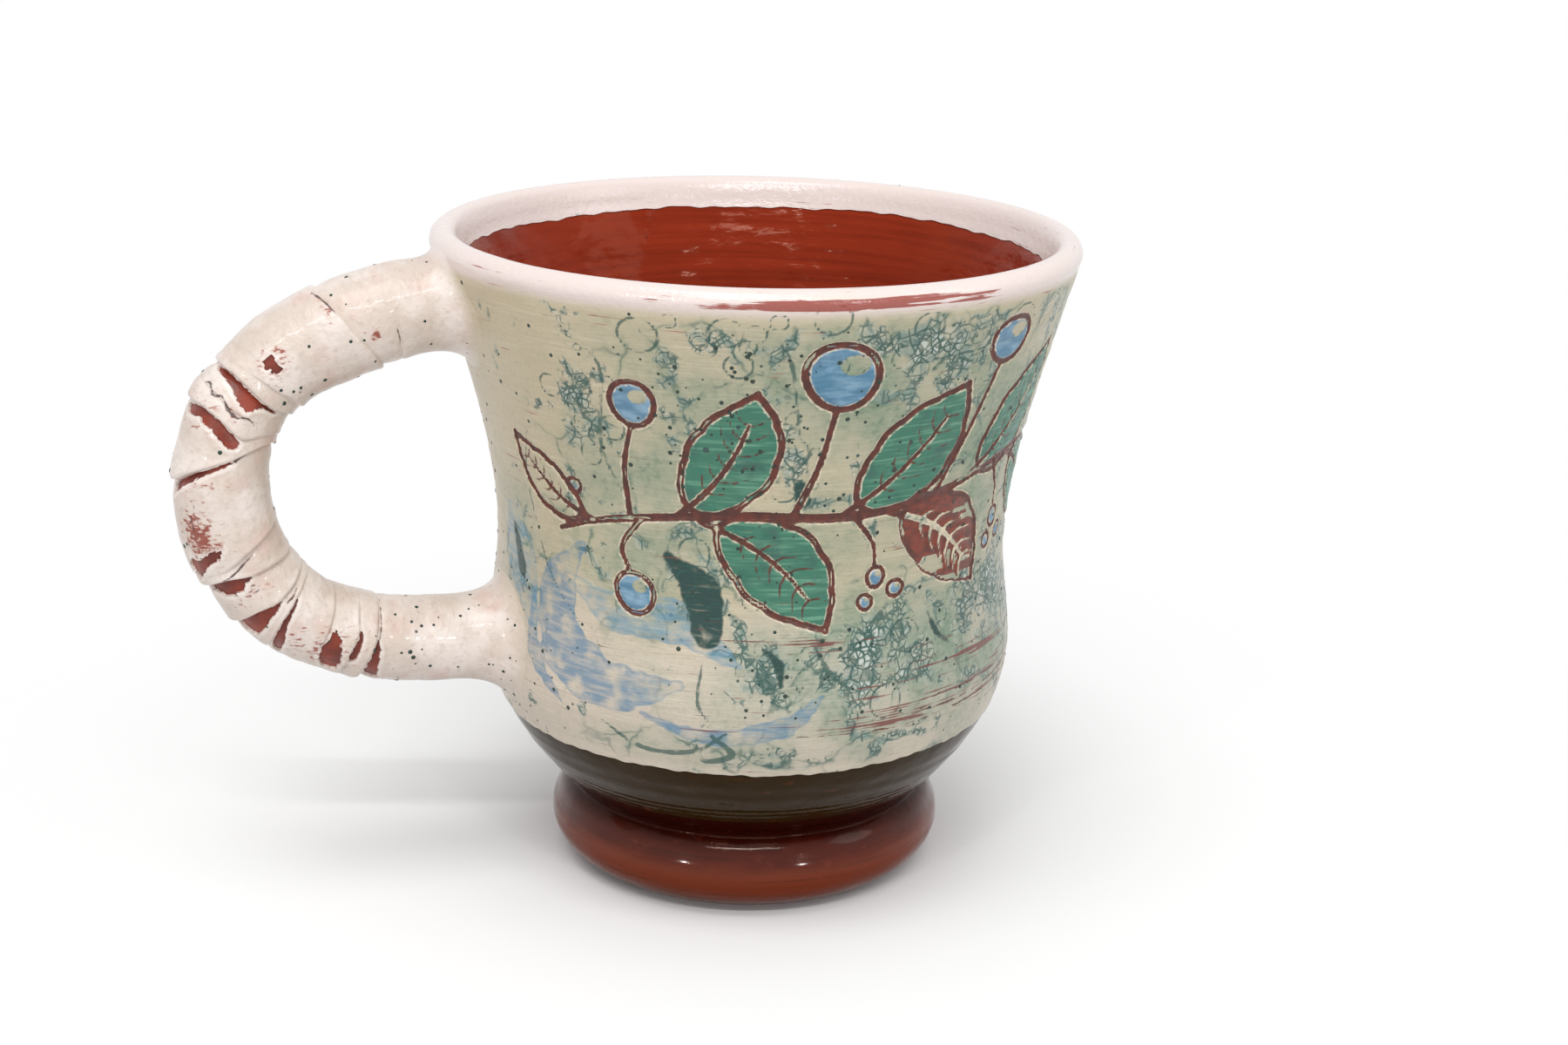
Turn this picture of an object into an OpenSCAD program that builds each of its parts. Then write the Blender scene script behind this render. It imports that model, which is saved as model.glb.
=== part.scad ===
// Thrown red-clay mug with a creased coil handle, a rolled foot and a cream slip coat.
// The cup's axis is Z, the table is Z = 0 and the handle points to -X. Sizes are in millimetres.

/* [Cup] */
// Height of the rim above the table
cup_h = 92.6; // [86:0.2:104]
// Outer radius of the rim, over the slip
rim_r = 45; // [42:0.2:49]
// Outward lean of the wall under the rim, radius per height
rim_lean = 0.28; // [0.18:0.01:0.36]
// Clay radius of the waist, where the wall is narrowest
waist_r = 35.7; // [34:0.1:36.6]
// Height of the waist
waist_z = 49; // [45:0.5:54]
// Clay radius of the belly, where the lower wall is widest
belly_r = 37.1; // [36:0.1:39]
// Height of the belly
belly_z = 34; // [32:0.5:36]
// Clay radius of the neck, at the groove over the foot
neck_r = 25; // [24:0.1:26]
// Height of the neck
neck_z = 12.2; // [11:0.1:13.4]
// Outward lean of the wall over the neck, radius per height
neck_lean = 1.1; // [0.7:0.05:1.2]
// Thickness of the clay wall
wall_t = 3.8; // [3.2:0.1:5]
// Thickness of the clay at the rounded lip
lip_t = 3; // [2.4:0.1:4]
// Height over which the wall thins to the lip
lip_taper_h = 14; // [8:1:24]
// Height of the drinking floor at its centre
floor_z = 9; // [7:0.2:11]

/* [Foot] */
// Widest outer radius of the foot roll
foot_r = 28.1; // [27.2:0.1:31]
// Height at which the foot roll is widest
foot_mid_z = 6.4; // [5:0.1:7.4]
// Outer radius of the flat ring that rests on the table
rest_r = 19; // [18:0.1:21]
// Inner radius of the foot roll
foot_bore_r = 15.5; // [12:0.1:17]
// Outer radius of the flat under the cup that the foot roll is pressed to
seat_r = 20.2; // [19:0.1:20.8]
// Depth of the recess under the cup
recess_h = 3; // [1.6:0.1:4]

/* [Coats] */
// Thickness of the cream slip
slip_t = 0.4; // [0.2:0.05:0.7]
// Thickness of the clear glaze over bare clay
glaze_t = 0.25; // [0.1:0.05:0.4]
// Height of the slip's lower edge, on the outside
slip_edge_z = 25.4; // [21:0.2:26.4]
// Depth of the slip's edge under the rim, on the inside
slip_inner_drop = 4.6; // [3:0.1:9]
// Width of the glaze pooled in the groove over the foot
pool_w = 0.8; // [0.5:0.05:1.1]

/* [Handle] */
// Distance from the rim's edge out to the coil's centre line at its furthest
handle_reach = 29.6; // [26:0.2:38]
// Depth of the handle's top below the lip's clay, at the upper joint
top_gap = 0.8; // [0.3:0.1:5]
// Height of the lower joint's centre above the belly
lower_rise = 2.6; // [1.6:0.2:6]
// Clay radius of the coil at the upper joint
coil_top_r = 6; // [5.2:0.1:7]
// Clay radius of the coil at the lower joint
coil_low_r = 5.4; // [4.6:0.1:6.4]
// Height of the swell between two creases
swell_h = 0.3; // [0:0.05:0.6]
// Depth of a full crease
crease_d = 0.9; // [0.3:0.05:1.3]
// Half the width of a crease, along the coil
crease_half_w = 0.7; // [0.4:0.05:0.9]
// Width of the clay smoothed round the coil where it meets the wall
collar_w = 4.6; // [2:0.1:5]
// Depth of the coil's ends inside the wall's outer face, before they are trimmed to it
root_inset = 2.4; // [1.8:0.1:3]

/* [Hidden] */

clay_red = [0.46, 0.15, 0.08];
slip_cream = [0.86, 0.81, 0.73];
glaze_red = [0.56, 0.16, 0.08];

// Counts of steps along the curved stretches of the outlines
round_sides = 180;
low_wall_steps = 8;
belly_steps = 5;
waist_steps = 7;
high_wall_steps = 14;
lip_steps = 12;
bowl_steps = 16;
roll_steps = 10;

// Value at t of a smooth curve from a to b, with the slopes sa and sb at its ends
function ease(a, b, sa, sb, t) =
    a * (2 * t ^ 3 - 3 * t ^ 2 + 1) + sa * (t ^ 3 - 2 * t ^ 2 + t)
    + b * (3 * t ^ 2 - 2 * t ^ 3) + sb * (t ^ 3 - t ^ 2);
// Slope at t of that curve
function ease_slope(a, b, sa, sb, t) =
    6 * (a - b) * (t ^ 2 - t) + sa * (3 * t ^ 2 - 4 * t + 1) + sb * (3 * t ^ 2 - 2 * t);

// The clay lip is a half round on top of the wall, leaning with it
lip_r = lip_t / 2;
lip_angle = atan(rim_lean);
lip_centre = [rim_r - slip_t - lip_r, cup_h - slip_t - lip_r];
lip_foot = lip_centre + lip_r * [cos(lip_angle), -sin(lip_angle)];
function lip_point(angle, out) = lip_centre + (lip_r + out) * [cos(angle), sin(angle)];
function lip_line(from, to, out) =
    [for (i = [0:lip_steps]) lip_point(from + (to - from) * i / lip_steps, out)];

// Stretches of the outer wall: [height, clay radius, lean] at the start, then at the end
wall_spans = [
    [[neck_z, neck_r, neck_lean], [belly_z, belly_r, 0]],
    [[belly_z, belly_r, 0], [waist_z, waist_r, 0]],
    [[waist_z, waist_r, 0], [lip_foot[1], lip_foot[0], rim_lean]]
];
function wall_span(z) = wall_spans[z < belly_z ? 0 : z < waist_z ? 1 : 2];
// Clay radius of the outer wall at height z
function wall_r(z) =
    let (a = wall_span(z)[0], b = wall_span(z)[1], h = b[0] - a[0])
        ease(a[1], b[1], a[2] * h, b[2] * h, (z - a[0]) / h);
// Lean of the outer wall at height z, radius per height
function wall_lean(z) =
    let (a = wall_span(z)[0], b = wall_span(z)[1], h = b[0] - a[0])
        ease_slope(a[1], b[1], a[2] * h, b[2] * h, (z - a[0]) / h) / h;
// The outer wall's point at height z, moved by out along the wall's normal
function wall_point(z, out) = [wall_r(z), z] + out * [1, -wall_lean(z)] / norm([1, wall_lean(z)]);
function wall_line(heights, out) = [for (z = heights) wall_point(z, out)];

// Heights of the outer wall's points, as n steps from a up to b, without b
function steps(a, b, n) = [for (i = [0:n - 1]) a + (b - a) * i / n];
low_heights = concat(steps(neck_z, slip_edge_z, low_wall_steps), [slip_edge_z]);
high_heights = concat(
    steps(slip_edge_z, belly_z, belly_steps),
    steps(belly_z, waist_z, waist_steps),
    steps(waist_z, lip_foot[1], high_wall_steps)
);

// The inner wall follows the outer wall, and thins towards the lip
function wall_t_at(z) = lip_t + (wall_t - lip_t) * min(1, (lip_foot[1] - z) / lip_taper_h);
function inner_point(z, out) = wall_point(z, -wall_t_at(z) - out);
function inner_line(heights, out) = [for (z = heights) inner_point(z, out)];
// The leaning wall's inner points lie higher than its outer ones
slip_inner_z = cup_h - slip_inner_drop - rim_lean * lip_t;
slipped_heights = [lip_foot[1], slip_inner_z];
lined_heights = concat(
    [slip_inner_z],
    [for (i = [high_wall_steps - 1:-1:1])
        let (z = waist_z + (lip_foot[1] - waist_z) * i / high_wall_steps)
            if (z < slip_inner_z) z],
    steps(waist_z, belly_z, waist_steps)
);
// The bowl's floor is a quarter of an ellipse below the belly
bowl_r = belly_r - wall_t;
bowl_h = belly_z - floor_z;
function bowl_line(out) =
    [for (i = [0:bowl_steps]) let (angle = 90 * i / bowl_steps)
        [(bowl_r - out) * cos(angle), belly_z - (bowl_h - out) * sin(angle)]];

// The foot roll's outside is part of an ellipse above its widest height, and of another below
roll_centre = [rest_r, foot_mid_z];
roll_w = foot_r - rest_r;
roll_top_angle = acos((neck_r - rest_r) / roll_w);
roll_top_h = (neck_z - foot_mid_z) / sin(roll_top_angle);
function roll_point(angle, out) =
    roll_centre + [(roll_w + out) * cos(angle), ((angle > 0 ? roll_top_h : foot_mid_z) + out) * sin(angle)];
// Points from the neck down to the given angle, without the neck
function roll_line(last_angle, out) = concat(
    [for (i = [1:roll_steps]) roll_point(roll_top_angle * (1 - i / roll_steps), out)],
    [for (i = [1:roll_steps]) roll_point(last_angle * i / roll_steps, out)]
);
flat_angle = -90;
glazed_angle = -62;

function reversed(list) = [for (i = [len(list) - 1:-1:0]) list[i]];
module turned(points) rotate_extrude($fn = round_sides) polygon(points);

// The coil's centre line runs from the upper joint, out and down, to the lower joint
upper_z = cup_h - 2 * slip_t - top_gap - coil_top_r;
lower_z = belly_z + lower_rise;
// Places along it: [share of the way out from the joint's wall, share of the height between the joints]
upper_path_shares = [[0.310, 0.955], [0.633, 0.868], [0.873, 0.744], [0.987, 0.583]];
lower_path_shares = [[0.989, 0.421], [0.909, 0.264], [0.749, 0.128], [0.515, 0.033], [0.277, 0.002]];
reach_r = rim_r + handle_reach;
function path_places(joint_r, shares) =
    [for (place = shares)
        [joint_r + (reach_r - joint_r) * place[0], lower_z + (upper_z - lower_z) * place[1]]];
path = concat(
    [[wall_r(upper_z) - root_inset, upper_z]],
    path_places(wall_r(upper_z), upper_path_shares),
    path_places(wall_r(lower_z), lower_path_shares),
    [[wall_r(lower_z) - root_inset, lower_z]]
);
path_spans = len(path) - 1;
path_chords = [for (i = [0:path_spans - 1]) norm(path[i + 1] - path[i])];
path_l = path_chords * [for (chord = path_chords) 1];
// A place of the path, with one more place beyond each of its ends
function path_knot(i) =
    i < 0 ? 2 * path[0] - path[1]
    : i > path_spans ? 2 * path[path_spans] - path[path_spans - 1]
    : path[i];
// The centre line at a share of the path, as a smooth curve through the places
function path_point(share) =
    let (i = min(path_spans - 1, max(0, floor(share * path_spans))), t = share * path_spans - i)
        let (a = path_knot(i - 1), b = path_knot(i), c = path_knot(i + 1), d = path_knot(i + 2))
            (2 * b + (c - a) * t + (2 * a - 5 * b + 4 * c - d) * t ^ 2
             + (3 * b - a - 3 * c + d) * t ^ 3) / 2;
near_share = 0.001;
function path_direction(share) =
    let (step = path_point(share + near_share) - path_point(share - near_share)) step / norm(step);

// Creases: [share of the path, slant in coil radii, share of the full depth, from, to]
// A crease shows bare clay between the last two, which are shares of a turn from the outer side
crease_shares = [
    [0.140, 0.36, 0.9, 0, 0], [0.280, 0.08, 1.0, 0.70, 0.95], [0.338, -0.05, 1.0, 0.65, 0.90],
    [0.397, 0.36, 0.8, 0.75, 0.95], [0.557, -0.06, 0.5, 0, 0], [0.606, -0.18, 1.0, 0.70, 1.00],
    [0.654, -0.11, 1.0, 0.75, 0.95], [0.704, 0, 0.9, 0.60, 0.80], [0.762, 0.12, 0.5, 0, 0],
    [0.812, 0.04, 1.0, 0.70, 0.95]
];
last_crease = len(crease_shares) - 1;

coil_sides = 20;
collar_rings = 6;
swell_rings = 2;
collar_share = 0.105;
crease_half_share = crease_half_w / path_l;
function coil_r(share) = coil_top_r + (coil_low_r - coil_top_r) * share;
// Slant of a ring, between the slants of the creases beside it
slant_shares = concat(
    [[collar_share, 0]],
    [for (crease = crease_shares) [crease[0], crease[1]]],
    [[1 - collar_share, 0]]
);
// A ring's point at an angle from the coil's outer side, grown by out
function coil_point(share, angle, out) =
    let (slant = lookup(share, slant_shares) * coil_r(share) / path_l)
        let (place = share + slant * cos(angle), along = path_direction(place), r = coil_r(share) + out)
            let (p = path_point(place) + r * cos(angle) * [-along[1], along[0]])
                [-p[0], r * sin(angle), p[1]];
// A ring is [share of the path, change of the coil's radius]
function coil_ring(ring, out) =
    [for (j = [0:coil_sides - 1]) coil_point(ring[0], 360 * j / coil_sides, ring[1] + out)];

// Rings of one swell, between the edges of two creases
function swell_between(from, to) =
    [for (i = [1:swell_rings]) let (t = i / (swell_rings + 1)) [from + (to - from) * t, swell_h * sin(180 * t)]];
middle_rings = concat(
    [[collar_share, 0]],
    swell_between(collar_share, crease_shares[0][0] - crease_half_share),
    [for (k = [0:last_crease]) each concat(
        [[crease_shares[k][0] - crease_half_share, 0],
         [crease_shares[k][0], -crease_d * crease_shares[k][2]],
         [crease_shares[k][0] + crease_half_share, 0]],
        swell_between(crease_shares[k][0] + crease_half_share,
                      k < last_crease ? crease_shares[k + 1][0] - crease_half_share : 1 - collar_share)
    )],
    [[1 - collar_share, 0]]
);
upper_rings = [for (i = [0:collar_rings]) [collar_share * i / collar_rings, 0]];
lower_rings = [for (i = [collar_rings:-1:0]) [1 - collar_share * i / collar_rings, 0]];
inner_rings = [for (i = [1:len(middle_rings) - 2]) middle_rings[i]];
coil_rings = concat(upper_rings, inner_rings, lower_rings);

// Two triangles over the square from ring i, side j, in a net of points that starts at base
function net_square(base, i, j, flip) =
    let (k = (j + 1) % coil_sides, a = base + i * coil_sides, b = a + coil_sides)
        flip ? [[a + j, b + k, a + k], [a + j, b + j, b + k]]
             : [[a + j, a + k, b + k], [a + j, b + k, b + j]];
// A solid tube through rings of points, closed by flat ends
module swept(rings) {
    last = (len(rings) - 1) * coil_sides;
    polyhedron(
        points = [for (ring = rings) each ring],
        faces = concat(
            [for (i = [0:len(rings) - 2]) for (j = [0:coil_sides - 1]) each net_square(0, i, j, true)],
            [[for (j = [0:coil_sides - 1]) j]],
            [[for (j = [coil_sides - 1:-1:0]) last + j]]
        )
    );
}
// A shell between two nets of points, where is_open says which squares are left out
module shell(inner, outer, is_open) {
    inner_base = len(outer) * coil_sides;
    last = len(outer) - 2;
    function open(i, j) =
        i < 0 || i > last ? true : is_open(i, (j + coil_sides) % coil_sides);
    // The wall of the shell along one edge, from point a to point b of the outer net
    function edge(a, b) = [[a, b, inner_base + b], [a, inner_base + b, inner_base + a]];
    polyhedron(
        points = concat([for (ring = outer) each ring], [for (ring = inner) each ring]),
        faces = [for (i = [0:last]) for (j = [0:coil_sides - 1]) if (!open(i, j))
            let (k = (j + 1) % coil_sides, a = i * coil_sides, b = a + coil_sides)
                each concat(
                    net_square(0, i, j, true),
                    net_square(inner_base, i, j, false),
                    open(i - 1, j) ? edge(a + j, a + k) : [],
                    open(i + 1, j) ? edge(b + k, b + j) : [],
                    open(i, j - 1) ? edge(b + j, a + j) : [],
                    open(i, j + 1) ? edge(a + k, b + k) : []
                )]
    );
}

// Growth of a collar over the coil at a ring's distance from the joint, as a share of the collar
function collar_growth(t, side_share) = slip_t + collar_w * side_share * (1 - t) ^ 3;
// The upper collar dies away under the lip, and the lower one is thinner over the joint
function upper_side_share(angle) = (1 - cos(angle)) / 2;
lower_top_share = 0.7;
function lower_side_share(angle) = lower_top_share + (1 - lower_top_share) * (1 + cos(angle)) / 2;
function side_angle(j) = 360 * j / coil_sides;
upper_net = [for (i = [0:collar_rings]) [for (j = [0:coil_sides - 1])
    coil_point(upper_rings[i][0], side_angle(j),
               collar_growth(i / collar_rings, upper_side_share(side_angle(j))))]];
lower_net = [for (i = [0:collar_rings]) [for (j = [0:coil_sides - 1])
    coil_point(lower_rings[i][0], side_angle(j),
               collar_growth(1 - i / collar_rings, lower_side_share(side_angle(j))))]];

// The cup as if it were solid clay, which trims what is joined to it
module cup_fill() turned(concat(
    [[0, neck_z]],
    wall_line(low_heights, 0),
    wall_line([for (i = [1:len(high_heights) - 1]) high_heights[i]], 0),
    lip_line(-lip_angle, 90, 0),
    [[0, lip_centre[1] + lip_r]]
));

module cup_body() color(clay_red) turned(concat(
    [[0, recess_h], [seat_r, recess_h]],
    wall_line(low_heights, 0),
    wall_line([for (i = [1:len(high_heights) - 1]) high_heights[i]], 0),
    lip_line(-lip_angle, 180 - lip_angle, 0),
    inner_line(lined_heights, 0),
    bowl_line(0)
));

module foot_roll() color(clay_red) turned(concat(
    [[foot_bore_r, recess_h], [foot_bore_r, 0]],
    reversed(roll_line(flat_angle, 0)),
    [[neck_r, neck_z], [seat_r, recess_h]]
));

module handle_coil() color(clay_red) difference() {
    swept([for (ring = coil_rings) coil_ring(ring, 0)]);
    cup_fill();
}

module upper_collar() color(slip_cream) difference() {
    shell([for (ring = upper_rings) coil_ring(ring, 0)], upper_net, function (i, j) false);
    cup_fill();
}

module lower_collar() color(slip_cream) difference() {
    shell([for (ring = lower_rings) coil_ring(ring, 0)], lower_net, function (i, j) false);
    cup_fill();
}

module body_slip() color(slip_cream) difference() {
    turned(concat(
        wall_line(high_heights, slip_t),
        lip_line(-lip_angle, 180 - lip_angle, slip_t),
        [inner_point(slip_inner_z, slip_t), inner_point(slip_inner_z, 0)],
        reversed(lip_line(-lip_angle, 180 - lip_angle, 0)),
        reversed(wall_line(high_heights, 0))
    ));
    swept(upper_net);
    swept(lower_net);
}

module handle_slip() color(slip_cream) shell(
    [for (ring = middle_rings) coil_ring(ring, 0)],
    [for (ring = middle_rings) coil_ring(ring, slip_t)],
    function (i, j) is_bare(i, j)
);
// A bare place takes the squares on both sides of its crease's deepest ring
edge_rings = 1;
rings_per_crease = 1 + 2 * edge_rings + swell_rings;
function crease_ring(k) = 1 + swell_rings + edge_rings + k * rings_per_crease;
function is_bare(i, j) =
    let (half_share = 0.5, turn = (j + half_share) / coil_sides)
        len([for (k = [0:last_crease])
            if (i == crease_ring(k) - 1 || i == crease_ring(k))
                if (turn > crease_shares[k][3] && turn < crease_shares[k][4]) k]) > 0;

module inner_glaze() color(glaze_red) turned(concat(
    inner_line(lined_heights, 0),
    bowl_line(0),
    reversed(bowl_line(glaze_t)),
    reversed(inner_line(lined_heights, glaze_t))
));

pooled_heights = [for (z = low_heights) if (z > neck_z + pool_w) z];
module foot_glaze() color(glaze_red) turned(concat(
    wall_line(low_heights, 0),
    reversed(wall_line(pooled_heights, glaze_t)),
    [[neck_r + pool_w, neck_z]],
    roll_line(glazed_angle, glaze_t),
    reversed(roll_line(glazed_angle, 0))
));

cup_body();
foot_roll();
handle_coil();
upper_collar();
lower_collar();
body_slip();
handle_slip();
inner_glaze();
foot_glaze();
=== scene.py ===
"""Looks of a thrown red-clay mug with a carved cream slip coat, a creased coil handle and a glazed foot."""

import logging
import math
from collections.abc import Callable, Sequence
from dataclasses import dataclass, field
from enum import Enum
from typing import TypeVar

import bpy
import numpy as np
from mathutils import Matrix, Vector


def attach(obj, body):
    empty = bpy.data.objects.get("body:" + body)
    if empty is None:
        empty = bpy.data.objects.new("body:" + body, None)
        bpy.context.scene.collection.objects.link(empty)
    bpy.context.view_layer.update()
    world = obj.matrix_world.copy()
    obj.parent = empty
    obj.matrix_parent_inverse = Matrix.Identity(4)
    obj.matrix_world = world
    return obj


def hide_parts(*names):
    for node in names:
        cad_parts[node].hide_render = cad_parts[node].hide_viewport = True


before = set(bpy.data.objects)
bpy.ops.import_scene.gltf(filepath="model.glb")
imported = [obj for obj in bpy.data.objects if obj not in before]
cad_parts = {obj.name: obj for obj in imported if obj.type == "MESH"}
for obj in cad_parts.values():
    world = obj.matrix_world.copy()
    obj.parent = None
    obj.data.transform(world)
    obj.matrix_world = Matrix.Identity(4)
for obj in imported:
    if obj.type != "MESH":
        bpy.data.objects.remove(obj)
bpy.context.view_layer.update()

LOG = logging.getLogger("mug")
BODY = "root"
MM = 0.001
TURN = 2 * math.pi
# The patterns count their places from this azimuth, which faces the camera
FRONT = math.radians(-110)
HANDLE = math.pi

Array = np.ndarray
Made = TypeVar("Made")
Piece = bpy.types.Object
Material = bpy.types.Material
NodeTree = bpy.types.NodeTree
Pair = tuple[float, float]
Colour = tuple[float, float, float]
Place = tuple[float, float, float]
Inputs = dict[str | int, object]


class Slot(Enum):
    """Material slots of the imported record."""

    CLAY = "red_clay"
    SLIP = "cream_slip"
    GLAZE = "red_glaze"


def srgb(red: int, green: int, blue: int) -> Colour:
    """Turns a colour as a screen shows it, from 0 to 255, into the linear one that a shader takes."""
    shares = (red / 255, green / 255, blue / 255)
    return tuple(c / 12.92 if c <= 0.04045 else ((c + 0.055) / 1.055) ** 2.4 for c in shares)


def smooth(value: Array | float, low: float, high: float) -> Array:
    """Rises smoothly from 0 at low to 1 at high."""
    t = np.clip((np.asarray(value, float) - low) / (high - low), 0, 1)
    return t * t * (3 - 2 * t)


def ease(a: Array, b: Array, slope_a: Array, slope_b: Array, t: Array) -> Array:
    """Gives the curve from a to b, at places t from 0 to 1, that has the two slopes at its ends."""
    ends = a * (2 * t**3 - 3 * t**2 + 1) + b * (3 * t**2 - 2 * t**3)
    return ends + slope_a * (t**3 - 2 * t**2 + t) + slope_b * (t**3 - t**2)


def unit(vectors: Array) -> Array:
    """Gives vectors of the same direction whose length is 1."""
    return vectors / np.linalg.norm(vectors, axis=-1, keepdims=True)


@dataclass(frozen=True)
class Ripple:
    """A seeded wavy value: a sum of sines whose lengths share no common measure."""

    seed: int
    lengths: tuple[float, ...]
    height: float
    drift: float = 0.0

    def at(self, place: Array, angle: Array | float = 0.0) -> Array:
        """Gives the wave's value.

        Args:
            place: Places along the wave, in the unit of its lengths.
            angle: Angles round the axis, which drift the wave's phase.

        Returns:
            The values, within the height on either side of zero.
        """
        random = np.random.default_rng(self.seed)
        total = np.zeros(np.broadcast(place, angle).shape)
        for length in self.lengths:
            phase, turns = random.uniform(0, TURN), random.integers(1, 4)
            drift = self.drift * np.sin(turns * np.asarray(angle) + phase)
            total = total + np.sin(TURN * np.asarray(place) / length + phase + drift)
        return self.height * total / len(self.lengths)


def round_wave(angle: Array, seed: int, waves: Sequence[int], height: float) -> Array:
    """Gives a wavy value that closes on itself after one turn.

    Args:
        angle: Angles round the axis.
        seed: Seed of the phases.
        waves: Numbers of waves in one turn.
        height: Greatest value on either side of zero.

    Returns:
        The values at those angles.
    """
    random = np.random.default_rng(seed)
    total = sum(np.sin(count * angle + random.uniform(0, TURN)) for count in waves)
    return height * total / len(waves)


def line_lengths(line: Array) -> Array:
    """Gives a line's length from its start to each of its points."""
    return np.concatenate([[0], np.cumsum(np.hypot(*np.diff(line, axis=0).T))])


def along_line(reach: Array, length: Array, values: Array) -> Array:
    """Gives a line's two values at lengths from its start."""
    return np.stack([np.interp(reach, length, values[:, i]) for i in (0, 1)], -1)


def around(degrees: Array, middle: float) -> Array:
    """Gives angles from a middle, in degrees, taken round the shorter side."""
    return (degrees - middle + 180) % 360 - 180


def to_half_turn(angle: Array) -> Array:
    """Gives the same angles, in radians, within half a turn on either side."""
    return np.angle(np.exp(1j * angle))


def both_faces(values: dict[str, Array]) -> dict[str, Array]:
    """Gives the values at both nets of a shell; the specks lie on its outer face alone.

    Args:
        values: Values by name, by row and column.

    Returns:
        The values by name, in one row.
    """
    fields = {name: np.tile(value.ravel(), 2) for name, value in values.items()}
    fields["speck"][len(fields["speck"]) // 2 :] = 0
    return fields


def each(kind: Callable[..., Made], *rows: tuple[object, ...]) -> tuple[Made, ...]:
    """Makes one object out of each row of values."""
    return tuple(kind(*row) for row in rows)


def net_faces(rows: int, columns: int, closed: bool = False) -> Array:
    """Makes the quads of a net that is closed round its columns.

    Args:
        rows: Number of rows.
        columns: Number of points in a row.
        closed: Whether the last row joins the first.

    Returns:
        Point numbers of the quads, one row of quads after another.
    """
    base = np.arange(rows * columns).reshape(rows, columns)
    top = np.roll(base, -1, axis=0)
    if not closed:
        base, top = base[:-1], top[:-1]
    return np.stack([base, np.roll(base, -1, 1), np.roll(top, -1, 1), top], -1).reshape(-1, 4)


def shell_faces(outer_quads: Array, points: int) -> tuple[Array, Array]:
    """Closes a net into a shell with a second net of the same points under it.

    Args:
        outer_quads: Quads of the outer net that are kept.
        points: Number of points in one net.

    Returns:
        All the quads, and the pairs of points along the shell's hard edges.
    """
    starts = outer_quads.ravel()
    ends = np.roll(outer_quads, -1, axis=1).ravel()
    rim = ~np.isin(starts * points + ends, ends * points + starts)
    pairs = np.stack([starts[rim], ends[rim]], -1)
    walls = np.concatenate([pairs[:, ::-1], pairs + points], -1)
    faces = np.concatenate([outer_quads, outer_quads[:, ::-1] + points, walls])
    return faces, np.concatenate([pairs, pairs + points])


def link(name: str, mesh: bpy.types.Mesh) -> Piece:
    """Makes an object of a mesh and puts it in the scene.

    Args:
        name: Name of the object.
        mesh: Its mesh.

    Returns:
        The object.
    """
    piece = bpy.data.objects.new(name, mesh)
    bpy.context.scene.collection.objects.link(piece)
    return piece


def make_piece(
    name: str,
    points: Array,
    faces: Sequence[Array],
    fields: dict[str, Array] | None = None,
    hard: Array | None = None,
) -> Piece:
    """Makes a mesh object out of points in millimetres, and leaves out points that no face uses.

    Args:
        name: Name of the piece.
        points: Points, in millimetres.
        faces: Faces as point numbers, one array for each number of corners.
        fields: Values at the points, which its material reads by name.
        hard: Pairs of point numbers whose edge stays hard.

    Returns:
        The new object.
    """
    used = np.unique(np.concatenate([part.ravel() for part in faces]))
    renumber = np.full(len(points), -1)
    renumber[used] = np.arange(len(used))
    mesh = bpy.data.meshes.new(name)
    corners = [face for part in faces for face in renumber[part].tolist()]
    mesh.from_pydata((points[used] * MM).tolist(), [], corners)
    mesh.update(calc_edges=True)
    mesh.polygons.foreach_set("use_smooth", np.ones(len(mesh.polygons), bool))
    if hard is not None:
        pairs = np.sort(renumber[hard], axis=1)
        edges = np.empty(len(mesh.edges) * 2, np.int32)
        mesh.edges.foreach_get("vertices", edges)
        edges = np.sort(edges.reshape(-1, 2).astype(np.int64), axis=1)
        count = len(used)
        flags = np.isin(edges[:, 0] * count + edges[:, 1], pairs[:, 0] * count + pairs[:, 1])
        mesh.attributes.new("sharp_edge", "BOOLEAN", "EDGE").data.foreach_set("value", flags)
    for key, values in (fields or {}).items():
        attribute = mesh.attributes.new(key, "FLOAT", "POINT")
        attribute.data.foreach_set("value", np.asarray(values, np.float32)[used])
    return link(name, mesh)


def settle(piece: Piece, material: Material, slot: Slot | None = None, *nodes: str) -> Piece:
    """Turns a finished piece's faces outwards, dresses it, hangs it under the body and hides the CAD parts
    that it stands for.

    Args:
        piece: The finished piece.
        material: Its material.
        slot: The record's slot that its finish belongs to, if there is one; not used.
        nodes: CAD nodes that it replaces.

    Returns:
        The same piece.
    """
    mesh = piece.data
    mesh.calc_loop_triangles()
    corners = np.empty(len(mesh.loop_triangles) * 3, np.int32)
    mesh.loop_triangles.foreach_get("vertices", corners)
    points = np.empty(len(mesh.vertices) * 3, np.float32)
    mesh.vertices.foreach_get("co", points)
    a, b, c = points.reshape(-1, 3)[corners.reshape(-1, 3)].astype(float).transpose(1, 0, 2)
    if np.einsum("ij,ij->", a, np.cross(b, c)) < 0:
        mesh.flip_normals()
    mesh.materials.clear()
    mesh.materials.append(material)
    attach(piece, BODY)
    if nodes:
        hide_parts(*nodes)
    LOG.info("%s: %d faces, stands for %s", piece.name, len(mesh.polygons), ", ".join(nodes) or "nothing")
    return piece


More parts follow.
